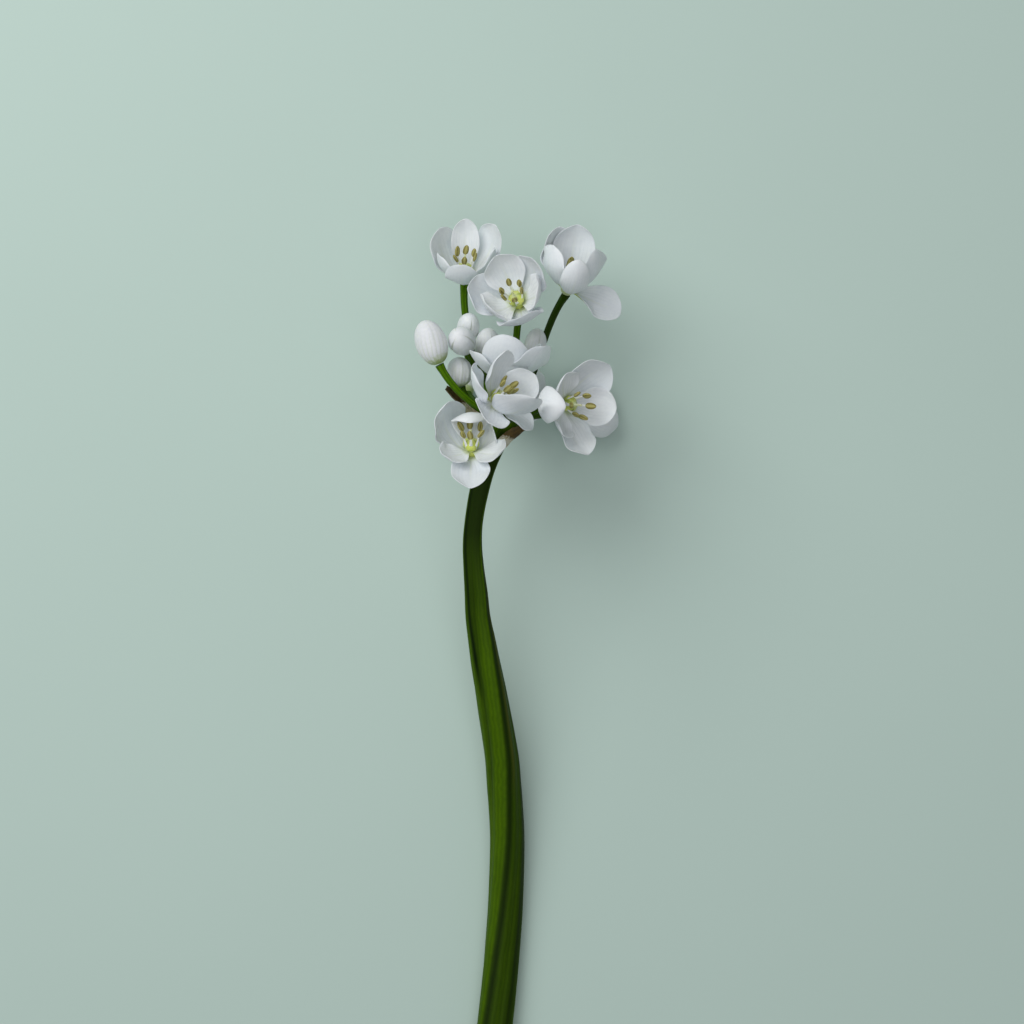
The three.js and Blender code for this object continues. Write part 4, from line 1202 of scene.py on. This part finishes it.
def make_bud(name, base, tip, half, first, root, seams, folds, shade):
    base = from_crown(base)
    axis = from_crown(tip) - base
    along, across, beside = directions(axis, first)
    rows = blend_stations(BUD_OUTLINE, BUD_RINGS)
    angles = circle(BUD_SIDES)
    lap = (angles * BUD_SEAMS / (2 * math.pi)) % 1
    seam = np.exp(-((np.minimum(lap, 1 - lap) / BUD_SEAM_HALF_WIDTH) ** 2))
    midrib = np.exp(-(((lap - 0.5) / BUD_MIDRIB_HALF_WIDTH) ** 2))
    relief = seams * (BUD_LAP * (lap**3 - 0.5) - BUD_SEAM_DEPTH * seam + BUD_MIDRIB_RISE * midrib)
    relief += BUD_FOLD * (np.cos(folds * angles) - 1)
    rings, hollow = [], []
    for share, radius in rows:
        turn = BUD_TURN * share
        turned = across * math.cos(turn) + beside * math.sin(turn)
        strength = min(1, share * 4 + 0.15) * min(1, (1.02 - share) * 6)
        reach = half * max(radius, 0.01) * (1 + relief * strength)
        rings.append(ring_of(base + axis * share, turned, np.cross(along, turned), reach, angles))
        # Painted shade along the seams.
        hollow.append(seam * strength * seams)
    attributes = {
        "around": np.tile(angles / (2 * math.pi), BUD_RINGS),
        "along": np.repeat(rows[:, 0], BUD_SIDES),
        "hollow": hollow,
    }
    piece = mesh_piece(f"closed_bud_{name}", rings, closed_skin(rings), bud_white, attributes)
    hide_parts(f"bud_{name}")
    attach(piece, "root")
    end = base - along * STALK_END_GAP
    make_stalk(f"bud_stem_{name}", f"bud_stalk_{name}", root, end, along, BUD_STALK_RADIUS, shade)


for name, bud in BUDS.items():
    make_bud(name, *bud)


# The surface, the light and the camera
# A plain pale sheet lies under the flower. A large soft light stands to the upper left, above the
# flowers, and a weaker one overhead. The camera looks straight down, as the photograph does.
FLOOR_HALF_SIDE = 900
FLOOR_TOP = -0.02
SKY_COLOUR = (0.93, 0.96, 1.0, 1)
SKY_STRENGTH = 0.2
CAMERA_HEIGHT = 500
CAMERA_FROM_CROWN = [1.0, -18.4]
VIEW_WIDTH = 204.8
SENSOR = 36
LIGHTS = {
    "key": {"place": [-290, 330, 470], "aim": [0, 40, 10], "size": 460, "power": 2.5, "tint": (1, 1, 0.99)},
    "fill": {"place": [60, -60, 650], "aim": [0, 20, 10], "size": 500, "power": 1, "tint": (0.98, 0.98, 1)},
}

material, tree = new_material("pale_surface")
pale = mix(tree, patches_of(tree, 2.0), (193, 214, 205), (191, 212, 203))
pale_surface = finish_material(material, {"Base Color": pale, "Roughness": 0.9, "Specular IOR Level": 0.2})

corners = [(-1, -1), (1, -1), (1, 1), (-1, 1)]
sheet = [[FLOOR_HALF_SIDE * x, FLOOR_HALF_SIDE * y, FLOOR_TOP] for x, y in corners]
floor = mesh_piece("floor", sheet, [(0, 1, 2, 3)], pale_surface)
floor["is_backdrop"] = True

for name, light in LIGHTS.items():
    data = bpy.data.lights.new(name, "AREA")
    data.shape = "SQUARE"
    data.size = light["size"] * MM
    data.energy = light["power"]
    data.color = light["tint"]
    lamp = new_object(name, data)
    lamp.location = Vector(light["place"]) * MM
    aim = (Vector(light["aim"]) - Vector(light["place"])).normalized()
    lamp.rotation_euler = aim.to_track_quat("-Z", "Y").to_euler()

world = bpy.data.worlds.new("studio")
world.use_nodes = True
sky = world.node_tree.nodes["Background"].inputs
sky["Color"].default_value = SKY_COLOUR
sky["Strength"].default_value = SKY_STRENGTH
bpy.context.scene.world = world
bpy.context.scene.view_settings.view_transform = "Standard"

camera_data = bpy.data.cameras.new("camera")
camera_data.sensor_width = SENSOR
camera_data.lens = SENSOR * CAMERA_HEIGHT / VIEW_WIDTH
camera = new_object("camera", camera_data)
camera.location = Vector(from_crown([*CAMERA_FROM_CROWN, CAMERA_HEIGHT])) * MM
bpy.context.scene.camera = camera

low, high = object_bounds()
